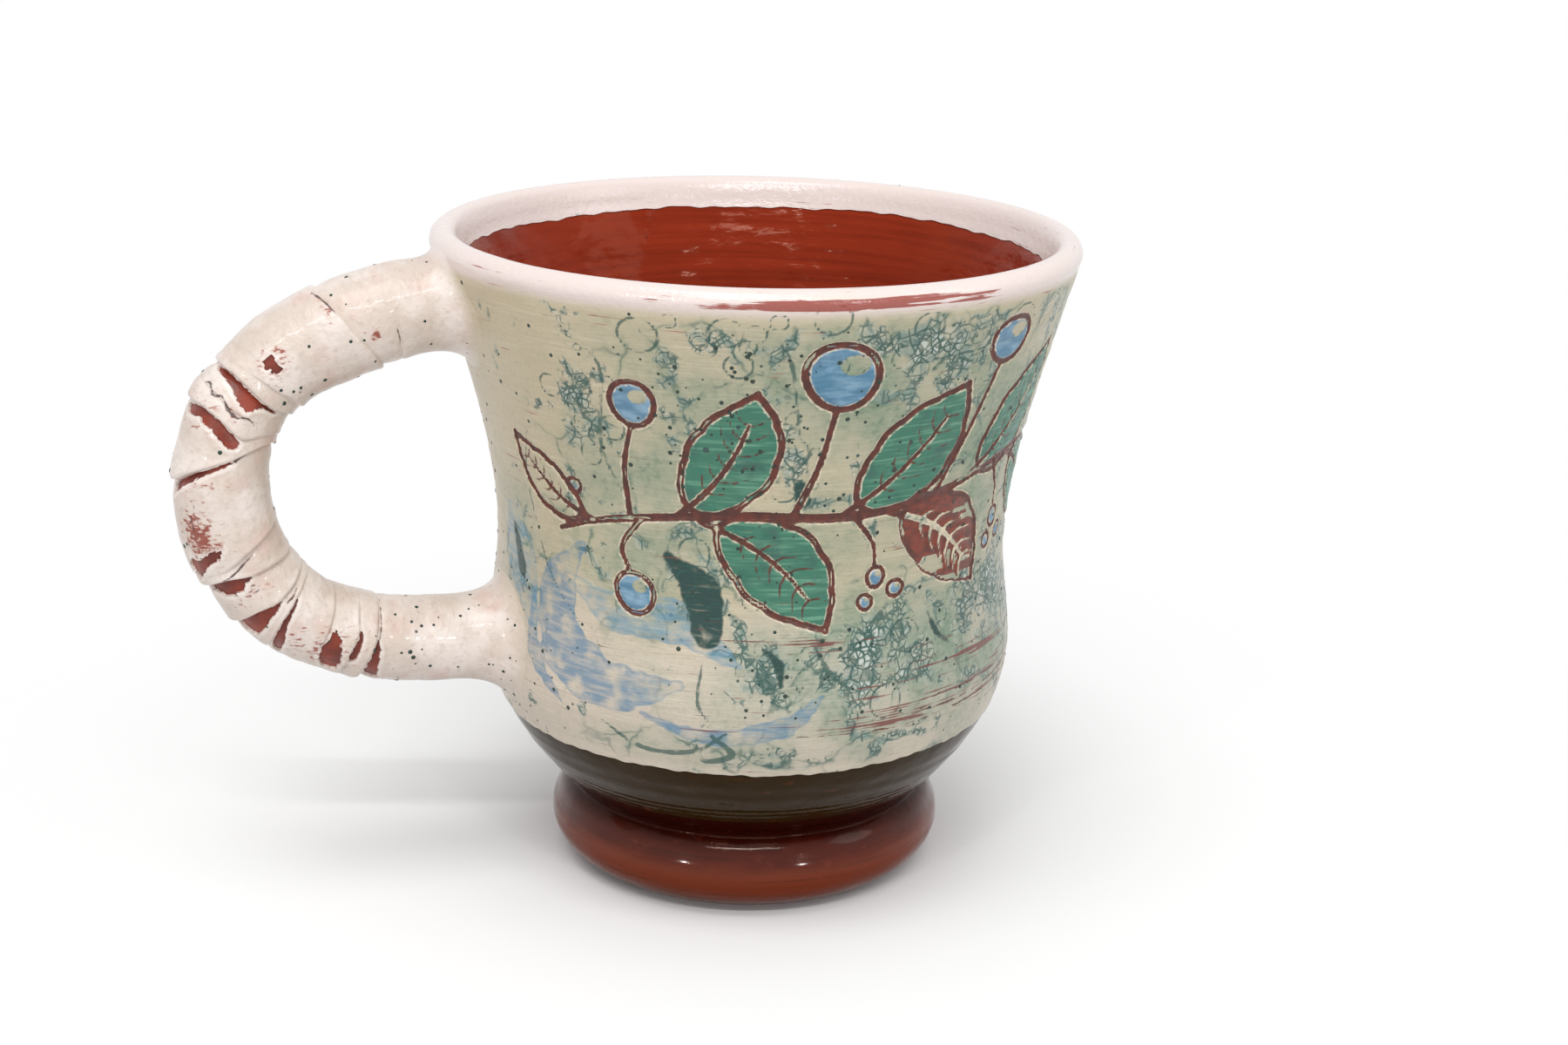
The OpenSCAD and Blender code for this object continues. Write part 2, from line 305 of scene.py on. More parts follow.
@dataclass(frozen=True)
class CupShape:
    """Sizes of the thrown cup and its foot, in millimetres, and the curves that follow from them."""

    height: float = 92.6
    rim_r: float = 45.0
    rim_lean: float = 0.28
    waist_r: float = 35.7
    waist_z: float = 49.0
    belly_r: float = 37.1
    belly_z: float = 34.0
    neck_r: float = 25.0
    neck_z: float = 12.2
    neck_lean: float = 1.1
    wall_t: float = 3.8
    lip_t: float = 3.0
    lip_taper_h: float = 14.0
    floor_z: float = 9.0
    foot_r: float = 28.1
    foot_mid_z: float = 6.4
    rest_r: float = 19.0
    foot_bore_r: float = 15.5
    seat_r: float = 20.2
    recess_h: float = 3.0
    slip_t: float = 0.4
    glaze_t: float = 0.25
    slip_edge_z: float = 25.4
    slip_inner_drop: float = 4.6

    @property
    def lip_r(self) -> float:
        """Radius of the clay lip's round."""
        return self.lip_t / 2

    @property
    def lip_angle(self) -> float:
        """Angle by which the lip's round leans outwards."""
        return math.atan(self.rim_lean)

    @property
    def lip_centre(self) -> Pair:
        """Centre of the lip's round, as radius and height."""
        inset = self.slip_t + self.lip_r
        return self.rim_r - inset, self.height - inset

    @property
    def lip_foot(self) -> Pair:
        """Point where the outer wall meets the lip's round, as radius and height."""
        radius, height = self.lip_centre
        return radius + self.lip_r * math.cos(self.lip_angle), height - self.lip_r * math.sin(self.lip_angle)

    @property
    def slip_inner_z(self) -> float:
        """Height parameter of the slip's edge inside the cup."""
        return self.height - self.slip_inner_drop - self.rim_lean * self.lip_t

    def lip_point(self, angle: Array, out: Array | float) -> Array:
        """Gives points round the lip, as radius and height, moved out by a distance.

        Args:
            angle: Angles round the lip's centre.
            out: Distance by which they are moved out.

        Returns:
            The points.
        """
        radius, height = self.lip_centre
        reach = self.lip_r + out
        return np.stack([radius + reach * np.cos(angle), height + reach * np.sin(angle)], -1)

    def wall(self, z: Array) -> tuple[Array, Array]:
        """Gives the clay radius and the lean of the outer wall.

        Args:
            z: Heights.

        Returns:
            The radii, and the radius gained per height.
        """
        z = np.asarray(z, float)
        stops = [
            (self.neck_z, self.neck_r, self.neck_lean),
            (self.belly_z, self.belly_r, 0.0),
            (self.waist_z, self.waist_r, 0.0),
            (self.lip_foot[1], self.lip_foot[0], self.rim_lean),
        ]
        radius, lean = np.zeros_like(z), np.zeros_like(z)
        for i, ((z0, r0, s0), (z1, r1, s1)) in enumerate(zip(stops, stops[1:])):
            h = z1 - z0
            t = (z - z0) / h
            near = ease(r0, r1, s0 * h, s1 * h, t)
            slope = 6 * (r0 - r1) / h * (t**2 - t) + s0 * (3 * t**2 - 4 * t + 1) + s1 * (3 * t**2 - 2 * t)
            here = np.full(z.shape, True) if i == 0 else z >= z0
            radius, lean = np.where(here, near, radius), np.where(here, slope, lean)
        return radius, lean

    def wall_point(self, z: Array, out: Array | float) -> Array:
        """Gives points of the outer wall, as radius and height, moved out along its normal.

        Args:
            z: Heights.
            out: Distance by which they are moved out.

        Returns:
            The points.
        """
        z = np.asarray(z, float)
        radius, lean = self.wall(z)
        length = np.hypot(1, lean)
        return np.stack([radius + out / length, z - out * lean / length], -1)

    def wall_thickness(self, z: Array) -> Array:
        """Gives the clay's thickness, which gets less towards the lip."""
        share = np.minimum(1, (self.lip_foot[1] - np.asarray(z, float)) / self.lip_taper_h)
        return self.lip_t + (self.wall_t - self.lip_t) * share

    def inner_point(self, z: Array, out: Array | float) -> Array:
        """Gives points of the inner wall, as radius and height, moved into the cup by a distance."""
        return self.wall_point(z, -self.wall_thickness(z) - out)

    def bowl(self, out: float, count: int) -> Array:
        """Gives the bowl's outline below the belly, from the wall to the axis.

        Args:
            out: Distance by which it is moved into the cup.
            count: Number of points.

        Returns:
            The points, as radius and height.
        """
        angle = np.linspace(0, math.pi / 2, count)
        width = self.belly_r - self.wall_t - out
        depth = self.belly_z - self.floor_z - out
        line = np.stack([width * np.cos(angle), self.belly_z - depth * np.sin(angle)], -1)
        line[-1, 0] = 0
        return line

    def roll(self, angle: Array, out: Array | float) -> Array:
        """Gives points of the foot roll's outside, as radius and height.

        Args:
            angle: Angles round its centre, from the widest point up.
            out: Distance by which they are moved out.

        Returns:
            The points, as radius and height.
        """
        width = self.foot_r - self.rest_r
        top = (self.neck_z - self.foot_mid_z) / math.sin(self.roll_top)
        tall = np.where(angle > 0, top, self.foot_mid_z)
        radius = self.rest_r + (width + out) * np.cos(angle)
        return np.stack([radius, self.foot_mid_z + (tall + out) * np.sin(angle)], -1)

    @property
    def roll_top(self) -> float:
        """Angle of the foot roll's outline where it meets the neck."""
        return math.acos((self.neck_r - self.rest_r) / (self.foot_r - self.rest_r))


class Value:
    """An output of a node, which can be added, multiplied and compared."""

    def __init__(self, tree: "Tree", socket: bpy.types.NodeSocket) -> None:
        """Keeps the output and its tree."""
        self.tree, self.socket = tree, socket

    def __add__(self, other: "Value | float") -> "Value":
        """Adds another value."""
        return self.tree.math("ADD", self, other)

    def __sub__(self, other: "Value | float") -> "Value":
        """Takes another value away."""
        return self.tree.math("SUBTRACT", self, other)

    def __mul__(self, other: "Value | float") -> "Value":
        """Multiplies by another value."""
        return self.tree.math("MULTIPLY", self, other)

    def __or__(self, other: "Value | float") -> "Value":
        """Takes the greater of two values."""
        return self.tree.math("MAXIMUM", self, other)

    def soft(self, low: float, high: float, top: float = 1.0) -> "Value":
        """Rises smoothly from 0 where the value is low to top where it is high."""
        inputs = {"Value": self, "From Min": low, "From Max": high, "To Max": top}
        return self.tree.give("ShaderNodeMapRange", inputs, interpolation_type="SMOOTHSTEP")


class Tree:
    """A node tree that is built with short calls."""

    def __init__(self, tree: NodeTree) -> None:
        """Keeps the tree."""
        self.tree = tree

    def put(self, node: bpy.types.Node, inputs: Inputs) -> None:
        """Fills a node's inputs.

        Args:
            node: The node.
            inputs: What they take: another node's output, a number, a vector or a colour.
        """
        for key, value in inputs.items():
            socket = node.inputs[key]
            value = value.socket if isinstance(value, Value) else value
            if isinstance(value, bpy.types.NodeSocket):
                self.tree.links.new(value, socket)
            elif isinstance(value, tuple):
                socket.default_value = (*value, 1.0)[: len(socket.default_value)]
            else:
                socket.default_value = value

    def add(self, kind: str, inputs: Inputs | None = None, **settings: object) -> bpy.types.Node:
        """Adds a node.

        Args:
            kind: Type of the node.
            inputs: What its inputs take.
            settings: Its other settings by name.

        Returns:
            The node.
        """
        node = self.tree.nodes.new(kind)
        for key, value in settings.items():
            setattr(node, key, value)
        self.put(node, inputs or {})
        return node

    def give(
        self, kind: str, inputs: Inputs | None = None, output: str | int = 0, **settings: object
    ) -> Value:
        """Adds a node and gives one of its outputs."""
        return Value(self, self.add(kind, inputs, **settings).outputs[output])

    def math(self, kind: str, a: Value | float, b: Value | float = 0.0) -> Value:
        """Joins two values by one operation of the Math node."""
        return self.give("ShaderNodeMath", {0: a, 1: b}, operation=kind)


class Graph(Tree):
    """Node tree of one material, which lays colours over each other. Its places are in millimetres."""

    def __init__(self, name: str) -> None:
        """Starts a material with a Principled shader.

        Args:
            name: Name of the material.
        """
        self.material = bpy.data.materials.new(name)
        self.material.use_nodes = True
        super().__init__(self.material.node_tree)
        self.place = self.mapped(self.give("ShaderNodeTexCoord", output="Object"), (1 / MM,) * 3)
        self.height = self.give("ShaderNodeSeparateXYZ", {0: self.place}, "Z")
        self.colour: Value | Colour = (0.0, 0.0, 0.0)

    def mapped(self, vector: Value, scale: Sequence[float], shift: Sequence[float] = (0, 0, 0)) -> Value:
        """Scales and shifts a vector."""
        return self.give("ShaderNodeMapping", {"Vector": vector, "Scale": scale, "Location": shift})

    def mix(self, share: Value, a: Value | Colour, b: Value | Colour) -> Value:
        """Mixes two colours by the second one's share."""
        return self.give("ShaderNodeMix", {0: share, 6: a, 7: b}, 2, data_type="RGBA")

    def lay(self, tint: Value | Colour, share: Value | float = 1.0) -> None:
        """Lays a tint over the colour so far."""
        self.colour = tint if share == 1.0 else self.mix(share, self.colour, tint)

    def noise(
        self, size: float, detail: float = 2.0, stretch: Sequence[float] = (1, 1, 1), shift: float = 0.0
    ) -> Value:
        """Gives clouds from 0 to 1, of a size in millimetres, closer together where they are stretched."""
        vector = self.mapped(self.place, stretch, (shift, 2 * shift, 3 * shift))
        return self.give("ShaderNodeTexNoise", {"Vector": vector, "Scale": 1 / size, "Detail": detail})

    def warped(self, amount: float, size: float) -> Value:
        """Gives the places pushed about by clouds of a size, both in millimetres.

        Args:
            amount: Greatest push.
            size: Size of the clouds.

        Returns:
            The pushed places.
        """
        push = self.give("ShaderNodeTexNoise", {"Vector": self.place, "Scale": 1 / size}, "Color")
        inputs = {0: push, 1: (2 * amount,) * 3, 2: self.place}
        return self.give("ShaderNodeVectorMath", inputs, operation="MULTIPLY_ADD")

    def cell_edges(self, size: float, place: Value) -> Value:
        """Gives the distance to the edge of cells of a size in millimetres, as a share of that size."""
        inputs = {"Vector": place, "Scale": 1 / size}
        return self.give("ShaderNodeTexVoronoi", inputs, "Distance", feature="DISTANCE_TO_EDGE")

    def spots(self, size: float, place: Value) -> tuple[Value, Value, Value]:
        """Makes scattered middles.

        Args:
            size: Distance between the middles, in millimetres.
            place: Places to use.

        Returns:
            The distance from the nearest middle, as a share of the size, and two chance values of it.
        """
        node = self.add("ShaderNodeTexVoronoi", {"Vector": place, "Scale": 1 / size})
        chance = self.add("ShaderNodeSeparateColor", {0: node.outputs["Color"]}).outputs
        return Value(self, node.outputs["Distance"]), Value(self, chance[0]), Value(self, chance[1])

    def bubbles(self, size: float, place: Value, line: float) -> Value:
        """Gives 1 on the rims, of a width as a share of the size, of round bubbles of many sizes."""
        gap, chance, _ = self.spots(size, place)
        return self.math("ABSOLUTE", gap - (chance * 0.24 + 0.24)).soft(line, 0.35 * line)

    def dots(self, spacing: float, radius: float, share: float, shift: float = 0.0) -> Value:
        """Makes scattered dots.

        Args:
            spacing: Distance between the places where a dot may lie, in millimetres.
            radius: Radius of the largest dots, in millimetres.
            share: Share of the places that hold a dot.
            shift: Place of another part of the same pattern.

        Returns:
            1 inside a dot, and 0 outside.
        """
        gap, chance, width = self.spots(spacing, self.mapped(self.place, (1, 1, 1), (shift,) * 3))
        reach = radius / spacing
        inside = (width * (0.7 * reach) + 0.3 * reach - gap).soft(0, 0.25 * reach)
        return inside * self.math("LESS_THAN", chance, share)

    def field(self, name: str) -> Value:
        """Reads a value that the mesh holds at its points."""
        return self.give("ShaderNodeAttribute", output="Fac", attribute_name=name)

    def finish(
        self,
        roughness: Value,
        reliefs: Sequence[tuple[Value, float]],
        shine: float = 0.5,
        coat: Value | float = 0.0,
        gleam: Colour = (1.0, 1.0, 1.0),
    ) -> Material:
        """Sets the shader's inputs.

        Args:
            roughness: Roughness.
            reliefs: Values from 0 to 1 that stand out, each with its depth in millimetres.
            shine: Specular level.
            coat: Weight of a clear coat.
            gleam: Tint of what the surface reflects head-on.

        Returns:
            The finished material.
        """
        normal = {}
        for height, depth in reliefs:
            bump = {"Height": height, "Distance": depth * MM, **normal}
            normal["Normal"] = self.give("ShaderNodeBump", bump)
        self.put(self.tree.nodes["Principled BSDF"], {
            "Base Color": self.colour, "Roughness": roughness, **normal,
            "Specular IOR Level": shine, "Specular Tint": gleam, "Coat Weight": coat, "Coat Roughness": 0.1,
        })
        return self.material


@dataclass(frozen=True)
class ClayFinish:
    """Bare red clay, with fine grain and the fine lines of throwing."""

    colour: Colour = srgb(146, 54, 30)
    dark: Colour = srgb(104, 34, 18)
    worn: Colour = srgb(176, 84, 52)
    roughness: float = 0.22

    def make(self) -> Material:
        """Makes the material.

        Returns:
            The finished material.
        """
        graph = Graph("bare_clay")
        grain = graph.noise(0.35)
        graph.lay(self.dark)
        graph.lay(self.colour, graph.noise(4, 3).soft(0.35, 0.7))
        graph.lay(self.worn, grain.soft(0.55, 0.8, 0.35))
        thrown = graph.noise(1.2, 2, (0.1, 0.1, 2.5))
        return graph.finish(grain * 0.25 + self.roughness, [(thrown, 0.05), (grain, 0.05)])


@dataclass(frozen=True)
class LiningFinish:
    """Glossy red-brown glaze inside the cup, with the marks of the wheel."""

    colour: Colour = srgb(142, 44, 20)
    deep: Colour = srgb(112, 28, 10)
    light: Colour = srgb(152, 54, 28)
    pit: Colour = srgb(70, 18, 10)
    shine: float = 0.14
    gleam: Colour = (1.0, 0.66, 0.5)

    def make(self) -> Material:
        """Makes the material.

        Returns:
            The finished material.
        """
        graph = Graph("lining_gloss")
        lay, noise = graph.lay, graph.noise
        rings = noise(2.2, 3, (0.06, 0.06, 2.2))
        lay(self.colour)
        lay(self.deep, rings.soft(0.38, 0.7, 0.6))
        lay(self.light, noise(16).soft(0.4, 0.75, 0.4))
        lay(self.pit, graph.dots(5, 0.35, 0.25) * 0.6)
        waves, swells = noise(3.2, 2, (1, 1, 1.8)), noise(11, 2, shift=5)
        reliefs = [(waves, 0.16), (swells, 1.3), (noise(0.8), 0.015), (rings, 0.05)]
        return graph.finish(noise(3) * 0.16 + 0.07, reliefs, self.shine, gleam=self.gleam)


@dataclass(frozen=True)
class FootFinish:
    """Glossy glaze on the lower band, the groove and the foot roll."""

    band: Colour = srgb(42, 29, 3)
    groove: Colour = srgb(40, 5, 2)
    roll: Colour = srgb(110, 44, 22)
    shoulder: Colour = srgb(76, 22, 11)
    ring: Colour = srgb(46, 22, 10)
    light: Colour = srgb(138, 68, 40)
    # low: the foot's dark tone, laid as painted shade towards the bottom of the roll where it meets the
    # floor, and as the glaze's own dark dots
    low: Colour = srgb(52, 22, 12)
    groove_z: float = 12.6
    band_z: float = 17.0
    shine: float = 0.11
    gleam: Colour = (1.0, 0.64, 0.46)

    def make(self) -> Material:
        """Makes the material.

        Returns:
            The finished material.
        """
        graph = Graph("foot_gloss")
        lay, noise = graph.lay, graph.noise
        level = graph.height + noise(7, 3, (1, 1, 3)) * 2.4 - 1.2
        rings = noise(1.4, 3, (0.05, 0.05, 2.4))
        lay(self.roll)
        lay(self.shoulder, level.soft(self.groove_z - 6, self.groove_z - 3))
        lay(self.groove, level.soft(self.groove_z - 3, self.groove_z - 0.5))
        lay(self.band, level.soft(self.groove_z + 2, self.band_z))
        lay(self.ring, rings.soft(0.5, 0.75, 0.4))
        lay(self.light, noise(2.5, 3, (1, 1, 2)).soft(0.58, 0.8, 0.2))
        # Painted shade: the roll goes darker towards the bottom, where it meets the floor
        lay(self.low, graph.height.soft(4.5, 0.4, 0.75))
        # Dark dots of the same tone, which the glaze has itself
        lay(self.low, graph.dots(3.2, 0.25, 0.3) * 0.7)
        reliefs = [(noise(6, 1, (1, 1, 1.6), 7), 0.2), (noise(1.2), 0.04), (rings, 0.006)]
        wet = graph.height.soft(4.8, 7.6) * graph.height.soft(12, 9.6, 0.34)
        return graph.finish(noise(2.5) * 0.14 + 0.04, reliefs, self.shine, wet, self.gleam)


@dataclass(frozen=True)
class SpeckFinish:
    """Small drops of dark green glaze."""

    colour: Colour = srgb(26, 52, 46)
    light: Colour = srgb(44, 60, 44)

    def make(self) -> Material:
        """Makes the material.

        Returns:
            The finished material.
        """
        graph = Graph("speck_glaze")
        graph.lay(self.colour)
        graph.lay(self.light, graph.noise(6).soft(0.4, 0.65))
        return graph.finish(graph.noise(0.4) * 0.2 + 0.15, [(graph.noise(0.15), 0.02)])


@dataclass(frozen=True)
class SlipFinish:
    """Cream slip under a satin glaze: stains, foam, brush strokes and the carved lines on it."""

    upper: Colour = srgb(200, 186, 157)
    lower: Colour = srgb(208, 194, 177)
    # lip: the lip's own pinker tone, made paler than the wall partly as painted light, where the lip and the
    # rim's inside face the light from above
    lip: Colour = srgb(234, 218, 213)
    cream: Colour = srgb(226, 212, 186)
    cut: Colour = srgb(98, 38, 20)
    deep_cut: Colour = srgb(72, 26, 14)
    bare: Colour = srgb(124, 48, 26)
    teal: Colour = srgb(38, 112, 90)
    blue: Colour = srgb(66, 122, 156)
    pale_blue: Colour = srgb(88, 140, 166)
    ink: Colour = srgb(20, 60, 54)
    foam: Colour = srgb(26, 76, 68)
    haze: Colour = srgb(104, 136, 112)
    pale_wash: Colour = srgb(134, 150, 132)
    deep_wash: Colour = srgb(70, 112, 90)
    froth: Colour = srgb(206, 204, 190)
    cloudy: Colour = srgb(88, 126, 122)
    cell: Colour = srgb(208, 214, 206)
    wiped: Colour = srgb(228, 218, 198)
    brushed: Colour = srgb(160, 132, 112)
    mottled: Colour = srgb(172, 160, 134)
    leaf_light: Colour = srgb(104, 160, 132)
    leaf_dark: Colour = srgb(22, 82, 74)
    leaf_spot: Colour = srgb(14, 50, 58)
    berry_light: Colour = srgb(128, 166, 192)
    berry_dark: Colour = srgb(40, 84, 120)
    low_red: Colour = srgb(112, 52, 44)
    lip_red: Colour = srgb(150, 48, 28)
    bare_dark: Colour = srgb(88, 34, 20)
    scored: Colour = srgb(150, 66, 40)
    # Heights over which the plain lip begins, and over which the brush marks and the stains end below it
    lip_from: Pair = (88.4, 90.3)
    brushed_to: Pair = (89.0, 86.5)
    stained_to: Pair = (90.2, 87.6)

    def on_lip(self, graph: Graph) -> Value:
        """Gives 1 on the lip and inside it, and 0 on the wall."""
        return graph.height.soft(*self.lip_from) | graph.field("over")

    def ground(self, graph: Graph) -> None:
        """Lays the plain slip, with a lip whose paler tone is partly painted light.

        Args:
            graph: Graph of the material.
        """
        lay, noise = graph.lay, graph.noise
        level = graph.height + noise(14) * 14 - 7
        lay(self.lower)
        lay(self.upper, level.soft(38, 54))
        # The paler lip is partly painted light: the lip's top and the rim's inside are lit from above
        lay(self.lip, self.on_lip(graph))
        lay(self.wiped, noise(1.1, 3, (0.09, 0.09, 2.2)).soft(0.5, 0.78, 0.35))
        below_lip = graph.height.soft(*self.brushed_to, 0.8)
        lines = noise(0.9, 3, (0.12, 0.12, 3), 7).soft(0.56, 0.85, 0.5)
        lay(self.brushed, lines * below_lip)
        lay(self.mottled, noise(0.8, 3, shift=15).soft(0.52, 0.72, 0.34) * below_lip)

    def stained(self, graph: Graph) -> None:
        """Adds the washes, the veins and the foam.

        Args:
            graph: Graph of the material.
        """
        lay, noise, field = graph.lay, graph.noise, graph.field
        below_lip = graph.height.soft(*self.stained_to)
        wash = field("wash") * below_lip
        patch = wash * noise(8, 5, shift=3).soft(0.36, 0.66)
        lay(self.pale_wash, wash * 0.4)
        lay(self.haze, patch * 0.6)
        lay(self.deep_wash, patch * noise(1.1, 4, (1, 1, 1.4), 29).soft(0.46, 0.66) * 0.5)
        vein = graph.cell_edges(10, graph.warped(2.6, 5))
        broken = noise(5, 3, shift=11).soft(0.4, 0.58) * wash.soft(0.08, 0.45)
        lay(self.foam, vein.soft(0.03, 0.006) * broken * 0.9)
        lay(self.haze, vein.soft(0.1, 0.0) * broken * 0.34)
        edge = field("foam") + noise(4.6, 2, shift=5) * 2.6
        edge = edge + noise(1.7, 4, shift=6) * 1.5 - 2.2
        edge = (edge | vein.soft(0.16, 0.05) * broken * 0.55) * below_lip
        inside, core = edge.soft(0.32, 0.58), edge.soft(0.6, 1.1)
        push = graph.warped(0.12, 1.6)
        small = graph.cell_edges(0.95, push)
        net = small.soft(0.14, 0.035) * noise(3, 2, shift=21).soft(0.42, 0.55)
        net = (net | graph.cell_edges(2.2, push).soft(0.07, 0.02)) * 0.9
        rims = net | graph.bubbles(2.3, push, 0.05) * noise(4, 2, shift=63).soft(0.46, 0.56)
        lay(self.froth, inside * 0.3)
        lay(self.cloudy, inside * noise(2.0, 4, shift=9).soft(0.42, 0.62) * 0.55)
        lay(self.foam, core * 0.6)
        cells = core * small.soft(0.08, 0.2)
        lay(self.cell, cells * noise(1.9, 2, shift=61).soft(0.38, 0.48, 0.8))
        lay(self.foam, inside * rims * 0.92)
        lay(self.ink, graph.dots(1.25, 0.3, 0.4, 4) * edge.soft(0.1, 0.45) * 0.85)

    def painted(self, graph: Graph) -> None:
        """Adds the brush strokes, the leaves' fill and the red streaks.

        Args:
            graph: Graph of the material.
        """
        lay, noise, field, mix = graph.lay, graph.noise, graph.field, graph.mix
        hairs = noise(1.6, 4, (0.4, 0.4, 1.5), 13)
        bare_hair = noise(1.0, 4, (0.22, 0.22, 1.5), 65)
        clouds = noise(3.4, 3, shift=19)
        paints = (
            ("brush", self.blue, 0.74, 0.5, 1.0),
            ("wet", self.pale_blue, 0.7, 0.52, 1.0),
            ("ink", self.ink, 1.0, 0.34, 0.6),
        )
        for name, tint, weight, dry, ragged in paints:
            inside = field(name) + (hairs - 0.5) * ragged
            laid = (bare_hair.soft(dry - 0.16, dry + 0.12, 0.55) + 0.45) * clouds.soft(dry - 0.2, dry + 0.08)
            rim = inside.soft(0.0, 0.15) * inside.soft(0.6, 0.2) * 0.3
            lay(tint, inside.soft(0.0, 0.5) * laid * weight + rim)
        ring = field("ring") + hairs * 0.24 - 0.12
        lay(self.foam, ring.soft(-0.03, 0.09) * noise(2.1, 3, shift=57).soft(0.34, 0.5) * 0.8)
        hatch = noise(0.75, 3, (0.12, 0.12, 1.7), 17)
        leaf = mix(hatch.soft(0.47, 0.72, 0.8), self.teal, self.leaf_light)
        leaf = mix(clouds.soft(0.48, 0.72, 0.7), leaf, self.leaf_dark)
        leaf = mix(graph.dots(1.9, 0.5, 0.4, 8) * 0.85, leaf, self.leaf_spot)
        ragged = noise(0.8, 3, shift=43) * 0.7 - 0.35
        lay(leaf, (field("leaf") + ragged).soft(-0.1, 0.12, 0.96))
        berry = mix(hairs.soft(0.35, 0.7), self.blue, self.berry_light)
        berry = mix(clouds.soft(0.5, 0.75, 0.6), berry, self.berry_dark)
        lay(berry, field("berry").soft(-0.1, 0.15, 0.92))
        torn = noise(0.62, 4, (0.035, 0.035, 2.1), 23) * 3.2
        torn = torn + noise(1.2, 3, (0.35, 0.35, 1.0), 47) * 1.4
        red = mix(graph.height.soft(50, 70), self.low_red, self.lip_red)
        lay(red, (field("streak") + torn - 2.8).soft(0.1, 0.4, 0.9))

    def carved(self, graph: Graph) -> None:
        """Adds the carved lines and the places scraped down to the clay.

        Args:
            graph: Graph of the material.
        """
        lay, noise, field, mix = graph.lay, graph.noise, graph.field, graph.mix
        wobble = noise(0.6, 2, shift=27) * 0.26 - 0.13
        cut, bare = field("cut") + wobble, field("bare") + wobble
        crumbs = noise(0.9, 3, shift=49).soft(0.34, 0.6)
        lay(self.cream, cut.soft(-0.26, -0.08, 0.8) * crumbs)
        lay(self.cream, bare.soft(-0.3, -0.1, 0.85) * crumbs)
        clay = mix(noise(1.6, 4, (1, 1, 1.8)).soft(0.38, 0.68), self.bare, self.bare_dark)
        scratches = noise(0.5, 2, (0.2, 0.2, 2.0), 53).soft(0.6, 0.75, 0.5)
        lay(mix(scratches, clay, self.scored), bare.soft(0.0, 0.1))
        groove = mix(noise(1.1).soft(0.35, 0.65), self.cut, self.deep_cut)
        lay(groove, (field("score") + wobble * 0.8).soft(-0.06, 0.05, 0.92))
        lay(groove, cut.soft(-0.05, 0.06))

    def make(self) -> Material:
        """Makes the material.

        Returns:
            The finished material.
        """
        graph = Graph("painted_slip")
        noise, dots = graph.noise, graph.dots
        for layer in (self.ground, self.stained, self.painted, self.carved):
            layer(graph)
        specks = dots(3.4, 0.42, 0.2, 31) | dots(1.5, 0.22, 0.2, 37)
        graph.lay(self.ink, specks * graph.field("speck").soft(0.0, 0.6, 0.9))
        scratch = noise(0.6, 3, (0.16, 0.16, 2.0), 41)
        scratch = scratch * (graph.height.soft(*self.brushed_to, 0.8) + 0.2)
        reliefs = [(noise(0.3), 0.03), (noise(0.9, 3, shift=55), 0.1), (scratch, 0.1)]
        glossy = self.on_lip(graph) * 0.22
        return graph.finish(noise(2.2, 3) * 0.22 + 0.28 - glossy, reliefs, coat=0.12)


@dataclass(frozen=True)
class HandleFinish:
    """Cream slip wiped over the coil, thin and pink on its ridges, and like the wall's at the joints."""

    colour: Colour = srgb(214, 198, 186)
    pale: Colour = srgb(234, 222, 214)
    pink: Colour = srgb(212, 174, 162)
    wiped: Colour = srgb(184, 165, 150)
    thin: Colour = srgb(176, 118, 100)
    clay: Colour = srgb(140, 54, 34)
    # edge: a pale rim along the torn edges of the slip, a painted highlight
    edge: Colour = srgb(242, 232, 224)
    crack: Colour = srgb(62, 30, 24)
    speck: Colour = srgb(52, 56, 52)
    wall: SlipFinish = SlipFinish()

    def make(self) -> Material:
        """Makes the material.

        Returns:
            The finished material.
        """
        graph = Graph("handle_slip_coat")
        lay, noise, field, dots = graph.lay, graph.noise, graph.field, graph.dots
        joined = field("joined").soft(0.1, 1.0)
        self.wall.ground(graph)
        wall = graph.colour
        brushed = noise(0.9, 3, (1.2, 0.3, 1.2), 3)
        lay(self.colour)
        lay(self.pale, noise(7, 3).soft(0.38, 0.68))
        lay(self.pink, noise(4.5, 3, shift=5).soft(0.5, 0.76, 0.55))
        lay(self.wiped, brushed.soft(0.5, 0.8, 0.4))
        lay(self.wiped, noise(0.9, 4, shift=17).soft(0.54, 0.76, 0.3))
        thin = field("thin") + noise(0.7, 5, (0.7, 1.0, 1.6), 9) * 3.0 - 1.9
        lay(self.thin, thin.soft(0.1, 0.45, 0.5))
        lay(self.clay, thin.soft(0.4, 0.6, 0.9))
        # Painted highlight: a pale rim along the edges of the gaps in the slip
        lay(self.edge, field("edge").soft(0.7, 0.1, 0.55))
        crack = field("crack") + noise(0.8, 3, shift=19) * 0.34 - 0.17
        lay(self.crack, crack.soft(-0.06, 0.08, 0.9))
        lay(wall, joined)
        specks = dots(3.0, 0.32, 0.3, 11) | dots(1.5, 0.2, 0.25, 13)
        lay(self.speck, specks * field("speck").soft(0.05, 0.8, 0.9))
        reliefs = [(noise(0.3), 0.03), (noise(0.8, 3, shift=23), 0.1), (brushed, 0.08)]
        return graph.finish(noise(1.6, 3) * 0.24 + 0.22, reliefs, coat=0.2)


class LeafFill(Enum):
    """What a carved leaf is filled with."""

    TEAL = "teal"
    BARE = "bare"
    OPEN = "open"


# How a line's width varies along it when it is drawn by hand
HAND = Ripple(51, (0.07, 0.13, 0.29), 0.2)


